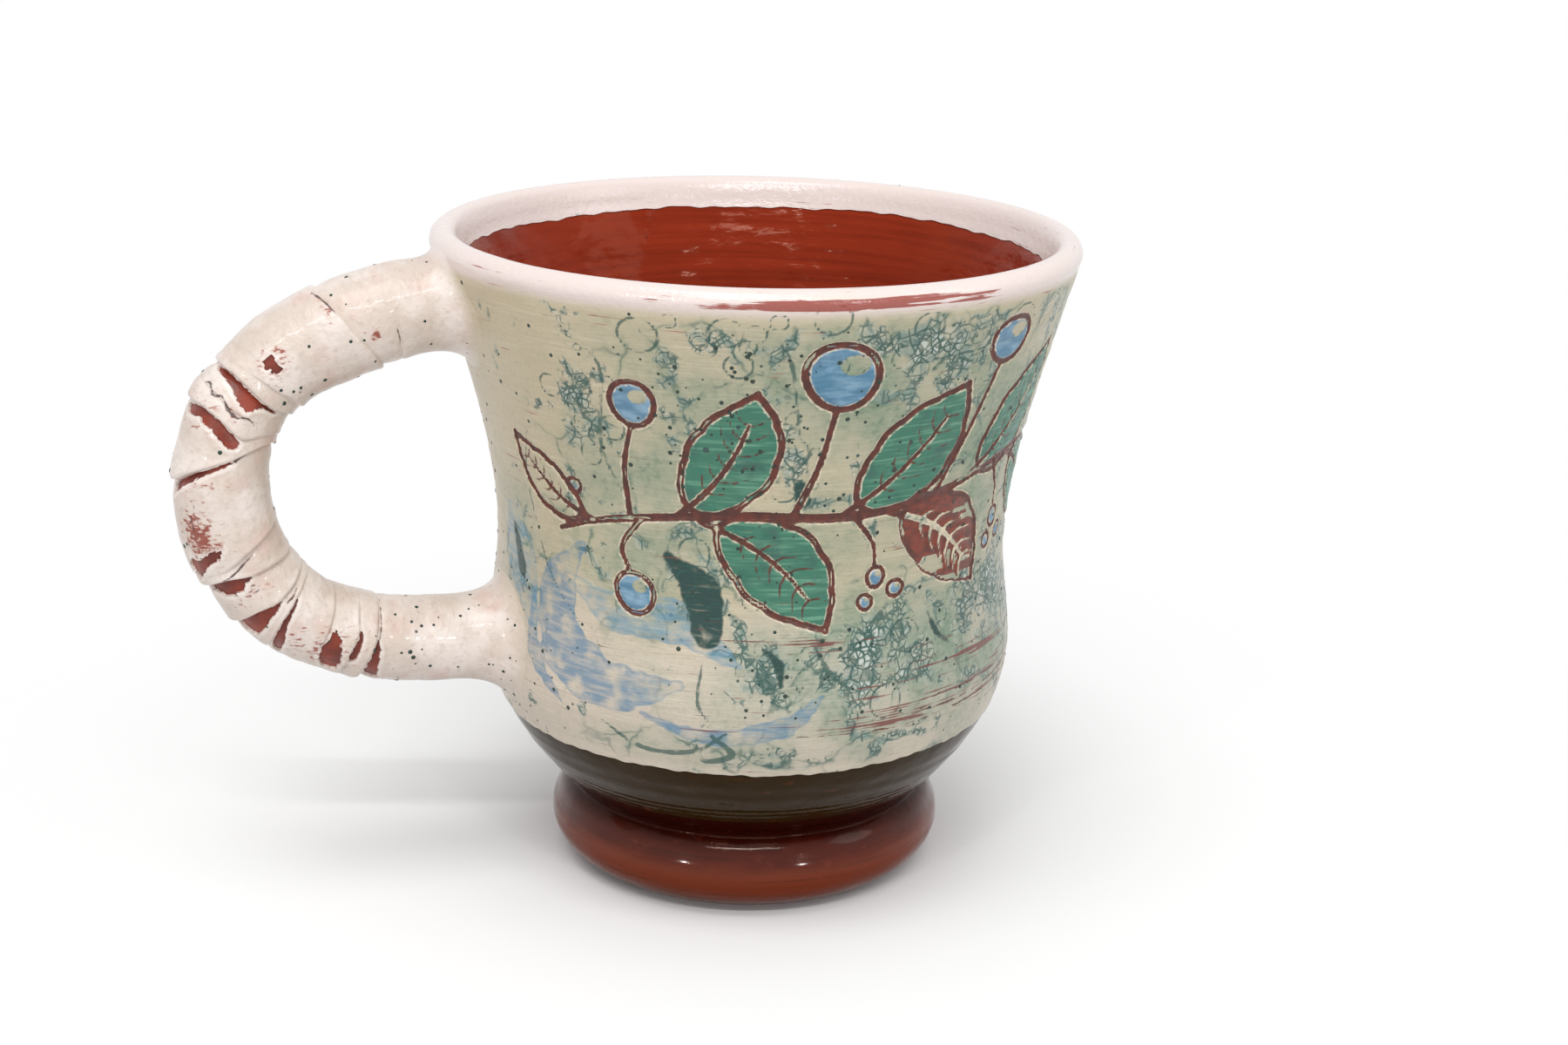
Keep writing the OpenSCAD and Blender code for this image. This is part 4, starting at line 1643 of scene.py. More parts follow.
@dataclass(frozen=True)
class TurnedPiece:
    """A piece that is turned on the wheel, from a closed outline of radius and height in millimetres."""

    name: str
    node: str
    slot: Slot
    outline: Array
    sides: int
    ring_spacing: float
    ring_height: float
    wobble: float
    seed: float

    def make(self, turning: NodeTree, spin_r: float, material: Material) -> Piece:
        """Builds the piece.

        Args:
            turning: The tree that spins an outline.
            spin_r: Radius of the tree's circle, in millimetres.
            material: The piece's material.

        Returns:
            The finished piece.
        """
        line = self.outline
        places = np.stack([line[:, 0] - spin_r, -line[:, 1], np.zeros(len(line))], -1) * MM
        edges = [(i, i + 1) for i in range(len(line) - 1)]
        if line[0, 0] or line[-1, 0]:
            edges.append((len(line) - 1, 0))
        mesh = bpy.data.meshes.new(self.name)
        mesh.from_pydata(places.tolist(), edges, [])
        piece = grow(link(self.name, mesh), turning, {
            "Sides": self.sides, "Ring Spacing": self.ring_spacing * MM, "Ring Height": self.ring_height * MM,
            "Wobble": self.wobble * MM, "Seed": self.seed, "Material": material,
        })
        return settle(piece, material, self.slot, self.node)


@dataclass(frozen=True)
class Turned:
    """The turned pieces of the cup: its clay wall, the foot roll and the two glazes."""

    shape: CupShape
    ridge_seed: int = 21
    # How far the clay is kept under the coats that lie on it
    wall_tuck: float = 0.02
    foot_tuck: float = 0.03
    # How far the glaze fills the groove, and the angles round the roll at which it thins out and ends
    pool: float = 0.8
    gloss_thins: float = math.radians(54)
    gloss_ends: float = math.radians(62)

    def body(self) -> TurnedPiece:
        """Gives the clay wall.

        Returns:
            Its outline and sizes.
        """
        shape = self.shape
        heights = np.linspace(shape.neck_z, shape.lip_foot[1], 90)
        lip = np.linspace(-shape.lip_angle, math.pi - shape.lip_angle, 16)
        inner = np.linspace(shape.lip_foot[1], shape.belly_z, 60)[1:]
        outline = np.concatenate([
            [[0, shape.recess_h], [8, shape.recess_h], [shape.seat_r, shape.recess_h]],
            shape.wall_point(heights, -self.wall_tuck),
            shape.lip_point(lip[1:], -self.wall_tuck),
            shape.inner_point(inner, -self.wall_tuck),
            shape.bowl(-self.wall_tuck, 28)[1:],
        ])
        return TurnedPiece(
            "thrown_wall", "cup_body", Slot.CLAY, outline,
            sides=160, ring_spacing=2.6, ring_height=0.0, wobble=0.02, seed=1.5,
        )

    def foot(self) -> TurnedPiece:
        """Gives the clay foot roll.

        Returns:
            Its outline and sizes.
        """
        shape = self.shape
        top = shape.roll(np.linspace(shape.roll_top, 0, 14), -self.foot_tuck)
        low = shape.roll(np.linspace(0, -math.pi / 2, 22)[1:], -self.foot_tuck)
        low[-1, 1] = self.foot_tuck
        bore_r = shape.foot_bore_r
        bore = [[bore_r + 0.7, self.foot_tuck], [bore_r + 0.2, 0.25], [bore_r, 0.9], [bore_r, shape.recess_h]]
        outline = np.concatenate([[[shape.seat_r, shape.recess_h]], top, low, bore])
        return TurnedPiece(
            "foot", "foot_roll", Slot.CLAY, outline,
            sides=220, ring_spacing=1.4, ring_height=0.04, wobble=0.03, seed=3.5,
        )

    def lining(self) -> TurnedPiece:
        """Gives the glaze inside the cup.

        Returns:
            Its outline and sizes.
        """
        shape = self.shape
        top_z = shape.slip_inner_z + 1.6
        z = np.linspace(top_z, shape.belly_z, 88)
        rings = Ripple(11, (3.1, 4.7, 7.3), 0.1).at(z) * smooth(top_z - z, 3, 6)
        t = np.linspace(0, 1, 46)
        bowl = shape.bowl(shape.glaze_t, 46)
        bowl[:, 1] += Ripple(12, (3.4, 5.3), 0.09).at(t * 40) * np.sin(math.pi * t)
        outline = np.concatenate([
            shape.bowl(0.02, 46)[::-1],
            shape.inner_point(z[::-1], 0.04),
            shape.inner_point(z, 0.08 + (shape.glaze_t - 0.08) * smooth(top_z - z, 1.2, 3.2) + rings),
            bowl[1:],
        ])
        return TurnedPiece(
            "inner_gloss", "inner_glaze", Slot.GLAZE, outline,
            sides=220, ring_spacing=2.9, ring_height=0.05, wobble=0.06, seed=6.5,
        )

    def foot_gloss(self) -> TurnedPiece:
        """Gives the glaze over the lower band, the groove and the roll.

        Returns:
            Its outline and sizes.
        """
        shape = self.shape
        top_z = shape.slip_edge_z + 0.9
        z = np.linspace(top_z, shape.neck_z + self.pool, 52)
        ridges = Ripple(self.ridge_seed, (0.9, 1.5, 2.3), 0.11).at(z)
        ridges = ridges * smooth(z, 12.4, 13.4) * (1 - smooth(z, 16, 20))
        wave = Ripple(self.ridge_seed + 1, (2.3, 3.9), 0.04).at(z) * smooth(top_z - z, 1, 3)
        thick = shape.glaze_t * smooth(top_z - z, -0.2, 0.5) + 0.02
        upper = shape.wall_point(z, thick + ridges + wave)
        corner = np.array([shape.neck_r + self.pool, shape.neck_z])
        join = shape.roll(np.array([shape.roll_top * 0.9]), shape.glaze_t)[0]
        t = np.linspace(0, 1, 8)[1:-1, None]
        pooled = upper[-1] * (1 - t) ** 2 + 2 * corner * t * (1 - t) + join * t**2
        top_turn = np.linspace(shape.roll_top * 0.9, 0, 22)
        low_turn = np.linspace(0, -self.gloss_ends, 22)[1:]
        bead = Ripple(self.ridge_seed + 2, (0.35, 0.6), 0.05).at(top_turn)
        thin = shape.glaze_t * (1 - smooth(-low_turn, self.gloss_thins, self.gloss_ends)) + 0.03
        outline = np.concatenate([
            upper,
            pooled,
            shape.roll(top_turn, shape.glaze_t + bead),
            shape.roll(low_turn, thin),
            shape.roll(low_turn[::-1], -0.25),
            shape.roll(top_turn[::-1], -0.25),
            [[shape.neck_r - 0.4, shape.neck_z]],
            shape.wall_point(z[::-4], -0.3),
        ])
        return TurnedPiece(
            "foot_gloss", "foot_glaze", Slot.GLAZE, outline,
            sides=260, ring_spacing=2.2, ring_height=0.03, wobble=0.05, seed=9.5,
        )


@dataclass(frozen=True)
class Fold:
    """A crease pressed across the coil, along a line of [degrees round the coil, way along it]."""

    line: tuple[Pair, ...]
    depth: float
    ridge: float
    middle: float = 270.0
    half_span: float = 130.0
    elsewhere: float = 0.35
    ridge_before: bool = True
    width: float = 1.0
    swell: float = 1.7


@dataclass(frozen=True)
class Gap:
    """A place where the slip is missing, as corners of [degrees round the coil, way along it]."""

    corners: tuple[Pair, ...]
    ragged: float = 0.16


@dataclass(frozen=True)
class Swell:
    """How much fuller the coil is at a place, on its outer side and on its inner side."""

    place: float
    outer: float
    inner: float


FOLDS: tuple[Fold, ...] = each(
    Fold,
    (((286, 10.9), (257, 11.2), (220, 11.3), (120, 11), (20, 10.9)), 0.3, 0.22, 235, 55, 0),
    (((345, 19), (308, 17.9), (280, 17.2), (241, 15.8), (196, 14.3), (100, 15.4), (30, 18.4)), 0.55, 0.5,
     260, 120, 0.5, False),
    (((330, 30.9), (296, 30.2), (266, 29.7), (231, 28.6), (120, 28.4), (30, 30.4)), 0.45, 0.4, 240, 60, 0.1),
    (((355, 31.9), (323, 31.6), (291, 31.7), (249, 31.9), (226, 31), (120, 30.2), (30, 32)), 0.8, 0.5, 285,
     110, 0.5),
    (((339, 34.1), (313, 34.2), (293, 34.8), (260, 34.9), (226, 33.6), (120, 33), (20, 33.9)), 0.4, 0.18,
     300, 55, 0, True, 0.45),
    (((350, 36.2), (326, 36), (298, 36.4), (274, 37.3), (262, 38), (240, 36.4), (215, 35.2), (110, 35.4),
     (30, 36.3)), 0.7, 0.5, 310, 85, 0.35),
    (((350, 44.8), (296, 42.5), (262, 40.6), (244, 38.9), (217, 37), (120, 39.5), (40, 43.8)), 0.75, 0.5,
     280, 150, 0.6),
    (((330, 55.2), (295, 55.3), (254, 54.1), (200, 52.4), (100, 52.6), (20, 54.6)), 0.6, 0.5, 250, 55, 0.2),
    (((342, 56.5), (300, 56.3), (272, 57.3), (212, 58.8), (120, 57.6), (40, 56.6)), 0.75, 0.4, 290, 120,
     0.5),
    (((351, 61.6), (295, 61.7), (268, 62.5), (244, 62.6), (205, 62.2), (100, 60.6), (30, 61.2)), 0.8, 0.5,
     290, 110, 0.5),
    (((336, 66.2), (285, 64.7), (257, 64.3), (231, 64), (120, 63.6), (20, 65.6)), 0.6, 0.4, 280, 80, 0.3),
    (((330, 70.5), (304, 70.5), (277, 70.8), (249, 70.6), (200, 69.6), (90, 69.8)), 0.3, 0.3, 240, 60, 0.1),
    (((320, 75.2), (291, 74.6), (257, 74.9), (238, 74.3), (200, 73.6), (90, 74.2)), 0.55, 0.35, 265, 60,
     0.15),
    (((340, 77.3), (300, 77.2), (258, 77.6), (230, 77.3), (186, 77), (90, 76.8)), 0.7, 0.4, 285, 100, 0.4),
)
SWELLS: tuple[Swell, ...] = each(
    Swell,
    (8, -0.1, 0.3), (13, 0, 0.4), (20, 0.4, 0.4), (26, 0.6, -0.3), (32, -0.2, -0.4), (34.5, 0.4, -0.2),
    (40, -0.3, 0.1), (46, -0.1, 0.5), (53, 0.3, 0.4), (58, 0, 0), (63.5, 0.3, -0.2), (69, 0.3, -0.5),
    (74, 0, 0), (80, -0.2, 0.1), (88, 0.1, 0.2),
)
CRACKS: tuple[Stroke, ...] = each(
    Stroke,
    (((340, 34), (330, 33.8), (318, 34.5), (306, 34.1), (294, 34.9), (280, 35.3), (268, 34.7), (256, 35.2)),
     (0.08, 0.16, 0.12, 0.2, 0.14, 0.1)),
    (((262, 40.9), (250, 39.7), (238, 38.6), (222, 37.4)), (0.2, 0.14, 0.14, 0.05)),
    (((306, 56.2), (288, 55.9), (270, 55.2), (254, 54.6)), (0.05, 0.14, 0.14, 0.05)),
    (((283, 58.9), (278, 59.4), (273.5, 58.9), (278, 58.4), (283, 58.9)), (0.12, 0.12, 0.12)),
    (((264, 11.6), (250, 11.5), (236, 11.7)), (0.05, 0.14, 0.05)),
    (((262, 63.4), (250, 63.5), (238, 63.2)), (0.14, 0.14, 0.05)),
    (((342, 19.4), (330, 19), (316, 18.5), (300, 18)), (0.05, 0.18, 0.12, 0.05)),
    (((262, 71.6), (270, 72.3), (282, 72.2), (290, 73)), (0.05, 0.14, 0.1, 0.05)),
    (((258, 78), (240, 77.9), (216, 77.6), (190, 77.5)), (0.1, 0.1, 0.1, 0.04)),
    (((312, 46.2), (308, 48.2), (311, 50.4)), (0.04, 0.1, 0.06)),
    (((318, 47.2), (316, 49), (318, 51.4)), (0.04, 0.12, 0.06)),
    (((120, 32), (96, 32.4), (70, 32.2)), (0.05, 0.16, 0.05)),
    (((150, 58.6), (128, 58.9), (108, 58.6)), (0.05, 0.16, 0.05)),
)
GAPS: tuple[Gap, ...] = each(
    Gap,
    (((304, 27.3), (296, 26.9), (290, 27.3), (276, 27), (281, 27.9), (276, 28.6), (287, 28.2), (291, 28.8),
     (300, 28.2)), 0.3),
    (((359, 32.2), (340, 31.9), (322, 31.8), (291, 31.9), (262, 32.1), (240, 31.9), (229, 31.5), (240, 32.4),
     (258, 32.6), (266, 33.3), (274, 34.2), (284, 33.8), (293, 33.4), (304, 32.8), (323, 32.6),
     (341, 32.6)),),
    (((372, 36.8), (345, 36.4), (326, 36.2), (298, 36.6), (274, 37.5), (262, 38.3), (266, 39.2), (275, 39.4),
     (287, 38.8), (304, 37.9), (320, 37.6), (324, 37.1), (332, 37.5), (350, 37.5)), 0.12),
    (((356, 45.1), (325, 43.8), (296, 42.7), (262, 40.9), (263, 41.3), (290, 43), (322, 44.7),
     (352, 46.2)),),
    (((350, 53.6), (335, 52.9), (322, 53.1), (304, 52.5), (284, 52.2), (293, 53.4), (311, 54), (330, 55.1),
     (345, 55.8)), 0.25),
    (((350, 56.8), (320, 56.4), (300, 56.4), (270, 57.5), (284, 58), (298, 58.6), (313, 58.4),
     (332, 57.7)),),
    (((354, 61.9), (325, 61.8), (295, 61.9), (264, 62.8), (279, 63.3), (293, 63.5), (310, 64), (328, 64.3),
     (341, 63)),),
    (((352, 67.4), (336, 66.4), (310, 65.6), (285, 64.9), (257, 64.5), (238, 64.2), (257, 64.9), (285, 65.6),
     (310, 66.9), (336, 67.6)), 0.1),
    (((258, 71.4), (274, 71.2), (290, 70.9), (303, 71.2), (328, 72.5), (322, 74.2), (297, 74), (282, 73.4),
     (268, 72.6)), 0.35),
    (((302, 75), (285, 74.8), (262, 75.1), (247, 74.8), (258, 75.7), (280, 75.8), (296, 75.7)), 0.12),
    (((330, 77.6), (300, 77.5), (275, 77.7), (256, 77.8), (268, 78.4), (285, 78.7), (310, 79),
     (336, 79.7)),),
    (((52, 32.2), (30, 32.4), (12, 32.2), (20, 33.3), (38, 33.7)),),
    (((96, 39.6), (70, 41.2), (50, 43.2), (58, 44), (80, 42), (98, 40.4)),),
    (((110, 57.8), (80, 57.4), (60, 57.2), (72, 58.6), (96, 58.8)), 0.2),
    (((130, 61.2), (100, 60.9), (70, 61.1), (84, 62.4), (112, 62.2)), 0.2),
    (((80, 66.1), (50, 66.3), (28, 66.2), (40, 67.2), (66, 67)),),
)


# Where the coil's slip is rubbed thin: degrees round it, way along it, the blot's half sizes and weight
THIN: tuple[tuple[float, ...], ...] = (
    (313, 50.2, 26, 3.2, 1.15), (300, 52.2, 22, 1.6, 1.1), (290, 72, 36, 2.6, 1.1),
    (312, 18.8, 16, 0.7, 0.95), (262, 14.6, 9, 0.9, 0.95), (290, 27.7, 22, 2.2, 0.95),
    (275, 75.4, 30, 1, 0.8), (300, 68, 36, 2, 0.6), (285, 59.5, 40, 1.2, 0.5), (300, 35.2, 50, 1, 0.55),
    (320, 38.2, 40, 0.8, 0.6), (310, 44.4, 50, 0.8, 0.6), (70, 50, 40, 4, 0.95), (60, 70, 40, 3, 0.9),
    (60, 42, 50, 2, 0.7),
)
# Where dark specks lie on the coil and the joints, in the same order
SPECKED: tuple[tuple[float, ...], ...] = (
    (280, 84, 80, 8, 1.2), (300, 94, 90, 9, 1.4), (235, 22, 50, 8, 0.7), (280, 50, 1000, 1000, 0.2),
)


def inside_corners(x: Array, y: Array, corners: Array) -> Array:
    """Gives how deep places lie inside a closed outline.

    Args:
        x: Places along the first axis.
        y: Places along the second axis.
        corners: Corners of the outline.

    Returns:
        Distances to the outline, positive inside it.
    """
    ends = np.roll(corners, -1, axis=0)
    best = np.full(x.shape, np.inf)
    inside = np.zeros(x.shape, bool)
    for (x0, y0), (x1, y1) in zip(corners, ends):
        dx, dy = x1 - x0, y1 - y0
        t = np.clip(((x - x0) * dx + (y - y0) * dy) / (dx * dx + dy * dy), 0, 1)
        best = np.minimum(best, np.hypot(x - x0 - dx * t, y - y0 - dy * t))
        if dy:
            inside ^= ((y0 > y) != (y1 > y)) & (x < x0 + (y - y0) / dy * dx)
    return np.where(inside, best, -best)


@dataclass(frozen=True)
class Coil:
    """The handle's coil: its path, its thickness, and its creases, in millimetres."""

    shape: CupShape
    handle_reach: float = 29.6
    top_gap: float = 0.8
    lower_rise: float = 2.6
    top_r: float = 6.0
    low_r: float = 5.4
    root_inset: float = 2.4
    upper_shares: tuple[Pair, ...] = (
        (0.310, 0.955), (0.633, 0.868), (0.873, 0.744), (0.987, 0.583),
    )
    lower_shares: tuple[Pair, ...] = (
        (0.989, 0.421), (0.909, 0.264), (0.749, 0.128), (0.515, 0.033), (0.277, 0.002),
    )
    table: tuple[Array, Array, Array] = field(init=False, repr=False, default=None)

    def __post_init__(self) -> None:
        """Works out a fine table of the path by length."""
        shape = self.shape
        upper = shape.height - 2 * shape.slip_t - self.top_gap - self.top_r
        lower = shape.belly_z + self.lower_rise
        far = shape.rim_r + self.handle_reach
        near_upper, near_lower = float(shape.wall(upper)[0]), float(shape.wall(lower)[0])
        knots = [(near_upper - self.root_inset, upper)]
        for near, shares in ((near_upper, self.upper_shares), (near_lower, self.lower_shares)):
            knots += [(near + (far - near) * a, lower + (upper - lower) * b) for a, b in shares]
        knots.append((near_lower - self.root_inset, lower))
        points, _ = Stroke(tuple(knots), (0.0, 0.0)).line(3000)
        length = line_lengths(points)
        object.__setattr__(self, "table", (length, points, unit(np.gradient(points, axis=0))))

    @property
    def length(self) -> float:
        """Length of the whole path."""
        return float(self.table[0][-1])

    @property
    def joint_zs(self) -> Pair:
        """Heights of the upper and the lower joint."""
        points = self.table[1]
        return float(points[0, 1]), float(points[-1, 1])

    def on_path(self, s: Array) -> tuple[Array, Array]:
        """Gives the path's points and directions."""
        length, points, along = self.table
        return along_line(s, length, points), unit(along_line(s, length, along))

    def point(self, s: Array, angle: Array, radius: Array) -> Array:
        """Gives points round the coil.

        Args:
            s: Ways along the path.
            angle: Angles round the coil, from its outer side.
            radius: Distances from the path.

        Returns:
            The points in the frame.
        """
        place, way = self.on_path(s)
        across = radius * np.cos(angle)
        out = place[..., 0] - across * way[..., 1]
        up = place[..., 1] + across * way[..., 0]
        return np.stack([-out, radius * np.sin(angle), up], -1)

    def plain_r(self, s: Array, angle: Array) -> Array:
        """Gives the coil's clay radius with its swells, without creases.

        Args:
            s: Ways along the coil.
            angle: Angles round the coil.

        Returns:
            The radii.
        """
        places = [swell.place for swell in SWELLS]
        outer = np.interp(s, places, [swell.outer for swell in SWELLS])
        inner = np.interp(s, places, [swell.inner for swell in SWELLS])
        side = (1 + np.cos(angle)) / 2
        ends = smooth(s, 4, 11) * (1 - smooth(s, 86, 94))
        taper = self.top_r + (self.low_r - self.top_r) * s / self.length
        return taper + (outer * side + inner * (1 - side)) * ends


@dataclass(frozen=True)
class HandleNet:
    """Rows and columns round the coil that follow its folds."""

    coil: Coil
    first: float = 9.8
    last: float = 88.4
    columns: int = 116
    row_step: float = 0.36
    fold_steps: tuple[float, ...] = (
        -1.9, -1.5, -1.2, -0.95, -0.75, -0.55, -0.38, -0.24, -0.14, -0.06, 0, 0.05, 0.12, 0.22, 0.36, 0.55,
        0.8, 1.1, 1.5, 1.9,
    )
    least_gap: float = 1.0
    soften: int = 9

    def angles(self) -> Array:
        """Gives the columns' angles."""
        return np.linspace(0, TURN, self.columns, endpoint=False)

    def fold_lines(self) -> Array:
        """Gives each fold's way along the coil at every column, kept apart from its neighbours.

        Returns:
            The ways, by fold and column.
        """
        degrees = np.degrees(self.angles())
        lines = []
        for fold in FOLDS:
            at, way = np.array(fold.line, float).T
            turn = np.arange(0, 360, 2.0)
            line = np.interp(turn, at, way, period=360)
            weights = np.exp(-((np.arange(-self.soften, self.soften + 1) / 5.0) ** 2))
            line = np.concatenate([line[-self.soften :], line, line[: self.soften]])
            line = np.convolve(line, weights / weights.sum(), "valid")
            lines.append(np.interp(degrees, turn, line, period=360))
        for i in range(1, len(lines)):
            lines[i] = np.maximum(lines[i], lines[i - 1] + self.least_gap)
        return np.array(lines)

    def rows(self) -> Array:
        """Places the rows along the coil, and gives each net point's own way.

        Returns:
            The ways, by row and column.
        """
        lines = self.fold_lines()
        means = lines.mean(axis=1)
        stops = np.concatenate([[self.first], means, [self.last]])
        shifts = np.vstack([np.zeros(self.columns), lines - means[:, None], np.zeros(self.columns)])
        places = [np.array([self.first, self.last])]
        for i in range(len(stops) - 1):
            low, high = stops[i], stops[i + 1]
            half = (high - low) / 2
            after = [low + step for step in self.fold_steps if 0 <= step < half and i > 0]
            before = [high + step for step in self.fold_steps if -half < step <= 0 and i < len(stops) - 2]
            start, end = max([low, *after]), min([high, *before])
            count = max(1, round((end - start) / self.row_step))
            places += [np.array(after), np.array(before), np.linspace(start, end, count + 1)]
        mean = np.sort(np.concatenate(places))
        mean = mean[np.concatenate([[True], np.diff(mean) > 0.03])]
        moved = [np.interp(mean, stops, shifts[:, j]) for j in range(self.columns)]
        return np.stack(moved, -1) + mean[:, None]

    def press(self, s: Array, angle: Array) -> Array:
        """Gives how far the folds push the surface out or in.

        Args:
            s: Ways along the coil, by row and column.
            angle: Angles round the coil.

        Returns:
            The distances, positive outwards.
        """
        total = np.zeros(s.shape)
        degrees = np.degrees(angle)
        outward = 0.8 + 0.2 * np.cos(angle)
        for fold, line in zip(FOLDS, self.fold_lines()):
            away = np.abs(around(degrees, fold.middle))
            near = 1 - smooth(away, 0.55 * fold.half_span, fold.half_span)
            strength = fold.elsewhere + (1 - fold.elsewhere) * near
            x = s - line[None]
            x = x if fold.ridge_before else -x
            groove = smooth(x, -0.1, 0.12) * np.exp(-np.maximum(x, 0) / fold.width)
            lip = (1 - smooth(x, -0.5, 0.14)) * np.exp(-np.maximum(-x, 0) / fold.swell)
            total += strength * outward * (fold.ridge * lip - fold.depth * groove)
        return total


@dataclass(frozen=True)
class Handle:
    """The coil handle: its clay, the slip over it and the two joints."""

    coil: Coil
    net: HandleNet
    slip_t: float = 0.38
    skin_sunk: float = 0.1
    edge_swell: float = 0.12
    flat_scale: float = 6.2

    @property
    def flat(self) -> float:
        """Length of one degree round the coil, as its creases and gaps are drawn."""
        return math.radians(1) * self.flat_scale

    def skin_fields(self, s: Array, angle: Array) -> dict[str, Array]:
        """Gives the values that the skin's material reads.

        Args:
            s: Ways along the coil, by row and column.
            angle: Angles round the coil.

        Returns:
            The values by name, by row and column.
        """
        turn = np.degrees(np.broadcast_to(angle, s.shape))
        seen = (turn - 180) % 360 + 180

        def blot(middle: float, place: float, wide: float, long: float, weight: float) -> Array:
            """Gives a soft blot."""
            return weight * np.exp(-(((seen - middle) / wide) ** 2) - ((s - place) / long) ** 2)

        thin = np.maximum.reduce([blot(*row) for row in THIN])
        speck = np.maximum.reduce([blot(*row) for row in SPECKED])
        crack = np.full(s.shape, -3.0)
        for stroke in CRACKS:
            points, widths = stroke.line(60)
            middle = float(points[:, 0].mean())
            x = around(turn, middle) * self.flat
            points = np.stack([(points[:, 0] - middle) * self.flat, points[:, 1]], -1)
            crack = np.maximum(crack, line_depth(x, s, points, widths, 3.0))
        return {"thin": thin, "speck": speck, "crack": crack, "joined": np.zeros(s.shape)}

    def gaps(self, s: Array, angle: Array) -> Array:
        """Gives how deep each place lies inside a gap in the slip.

        Args:
            s: Ways along the coil, by row and column.
            angle: Angles round the coil.

        Returns:
            Distances in millimetres, positive inside a gap.
        """
        turn = np.degrees(np.broadcast_to(angle, s.shape))
        rough = Ripple(31, (0.55, 0.9, 1.7), 1.0)
        best = np.full(s.shape, -5.0)
        for gap in GAPS:
            corners = np.array(gap.corners, float)
            middle = corners[:, 0].mean()
            x = around(turn, middle) * self.flat
            outline = np.stack([(corners[:, 0] - middle) * self.flat, corners[:, 1]], -1)
            ragged = gap.ragged * (rough.at(x + 1.7 * s) + rough.at(1.3 * x - 2.1 * s))
            best = np.maximum(best, inside_corners(x, s, outline) + ragged * 0.7)
        return best

    def make_clay(self, material: Material) -> Piece:
        """Builds the clay coil, whose ends lie inside the wall.

        Args:
            material: Its material.

        Returns:
            The finished piece.
        """
        angle = self.net.angles()
        before = np.linspace(1.0, self.net.first, 14)[:-1, None]
        after = np.linspace(self.net.last, self.coil.length - 1.0, 16)[1:, None]
        s = np.vstack([before + 0 * angle, self.net.rows(), after + 0 * angle])
        radius = self.coil.plain_r(s, angle) + self.net.press(s, angle)
        points = self.coil.point(s, angle, radius)[:, ::2]
        count = points[..., 0].size
        first = np.arange(points.shape[1])
        last = count - 1 - first
        caps = []
        for i, ring in enumerate((first, last)):
            caps.append(np.stack([np.full(len(ring), count + i), np.roll(ring, -1), ring], -1))
        middles = [points[0].mean(axis=0), points[-1].mean(axis=0)]
        faces = [net_faces(*points.shape[:2]), *caps]
        piece = make_piece("handle_clay", np.concatenate([points.reshape(-1, 3), middles]), faces)
        return settle(piece, material, Slot.CLAY, "handle_coil")

    def make_skin(self, material: Material) -> Piece:
        """Builds the slip over the coil, with real openings where it is missing.

        Args:
            material: Its material.

        Returns:
            The finished piece.
        """
        s = self.net.rows()
        turn = np.broadcast_to(self.net.angles(), s.shape)
        quads = net_faces(*s.shape)
        opened = self.gaps(s, turn).ravel()[quads].mean(axis=1) > 0
        s, turn = self.snap(s, turn, quads, opened)
        depth = self.gaps(s, turn)
        # A snapped point has moved by less than a column, so its own column's push is taken
        clay = self.coil.plain_r(s, turn) + self.net.press(s, self.net.angles())
        grain = Ripple(41, (2.3, 3.9, 6.1), 0.05).at(s, turn)
        swollen = self.edge_swell * np.exp(-(((depth + 0.35) / 0.3) ** 2))
        first, last = self.net.first, self.net.last
        ends = smooth(s, first, first + 2) * (1 - smooth(s, last - 2, last))
        outer = self.coil.point(s, turn, clay + self.slip_t + (grain + swollen) * ends)
        inner = self.coil.point(s, turn, clay - self.skin_sunk)
        faces, hard = shell_faces(quads[~opened], s.size)
        fields = both_faces(self.skin_fields(s, turn))
        # The edge value is the distance from a gap, which places the painted highlight along its rim
        fields["edge"] = np.tile(np.clip(-depth, 0, 3).ravel(), 2)
        points = np.concatenate([outer.reshape(-1, 3), inner.reshape(-1, 3)])
        piece = make_piece("handle_skin", points, [faces], fields, hard)
        return settle(piece, material, Slot.SLIP, "handle_slip")

    def snap(self, s: Array, turn: Array, quads: Array, opened: Array) -> tuple[Array, Array]:
        """Moves the points along the openings' edges onto the true outline.

        Args:
            s: Ways along the coil.
            turn: Angles round the coil.
            quads: Quads of the net.
            opened: Which quads are left out.

        Returns:
            The new ways along the coil, and the new angles.
        """
        rim = np.zeros(s.shape, bool)
        rim.flat[np.intersect1d(quads[opened], quads[~opened])] = True
        step = 0.04
        for _ in range(3):
            slope_s = (self.gaps(s + step, turn) - self.gaps(s - step, turn)) / (2 * step)
            side = step / self.flat_scale
            slope_a = (self.gaps(s, turn + side) - self.gaps(s, turn - side)) / (2 * step)
            size = np.maximum(slope_s**2 + slope_a**2, 0.25)
            move = np.clip(self.gaps(s, turn) / size, -0.16, 0.16)
            s = np.where(rim, s - 0.8 * move * slope_s, s)
            turn = np.where(rim, turn - 0.8 * move * slope_a / self.flat_scale, turn)
        return s, turn


class JointEnd(Enum):
    """Which end of the coil a joint is at."""

    UPPER = "upper"
    LOWER = "lower"


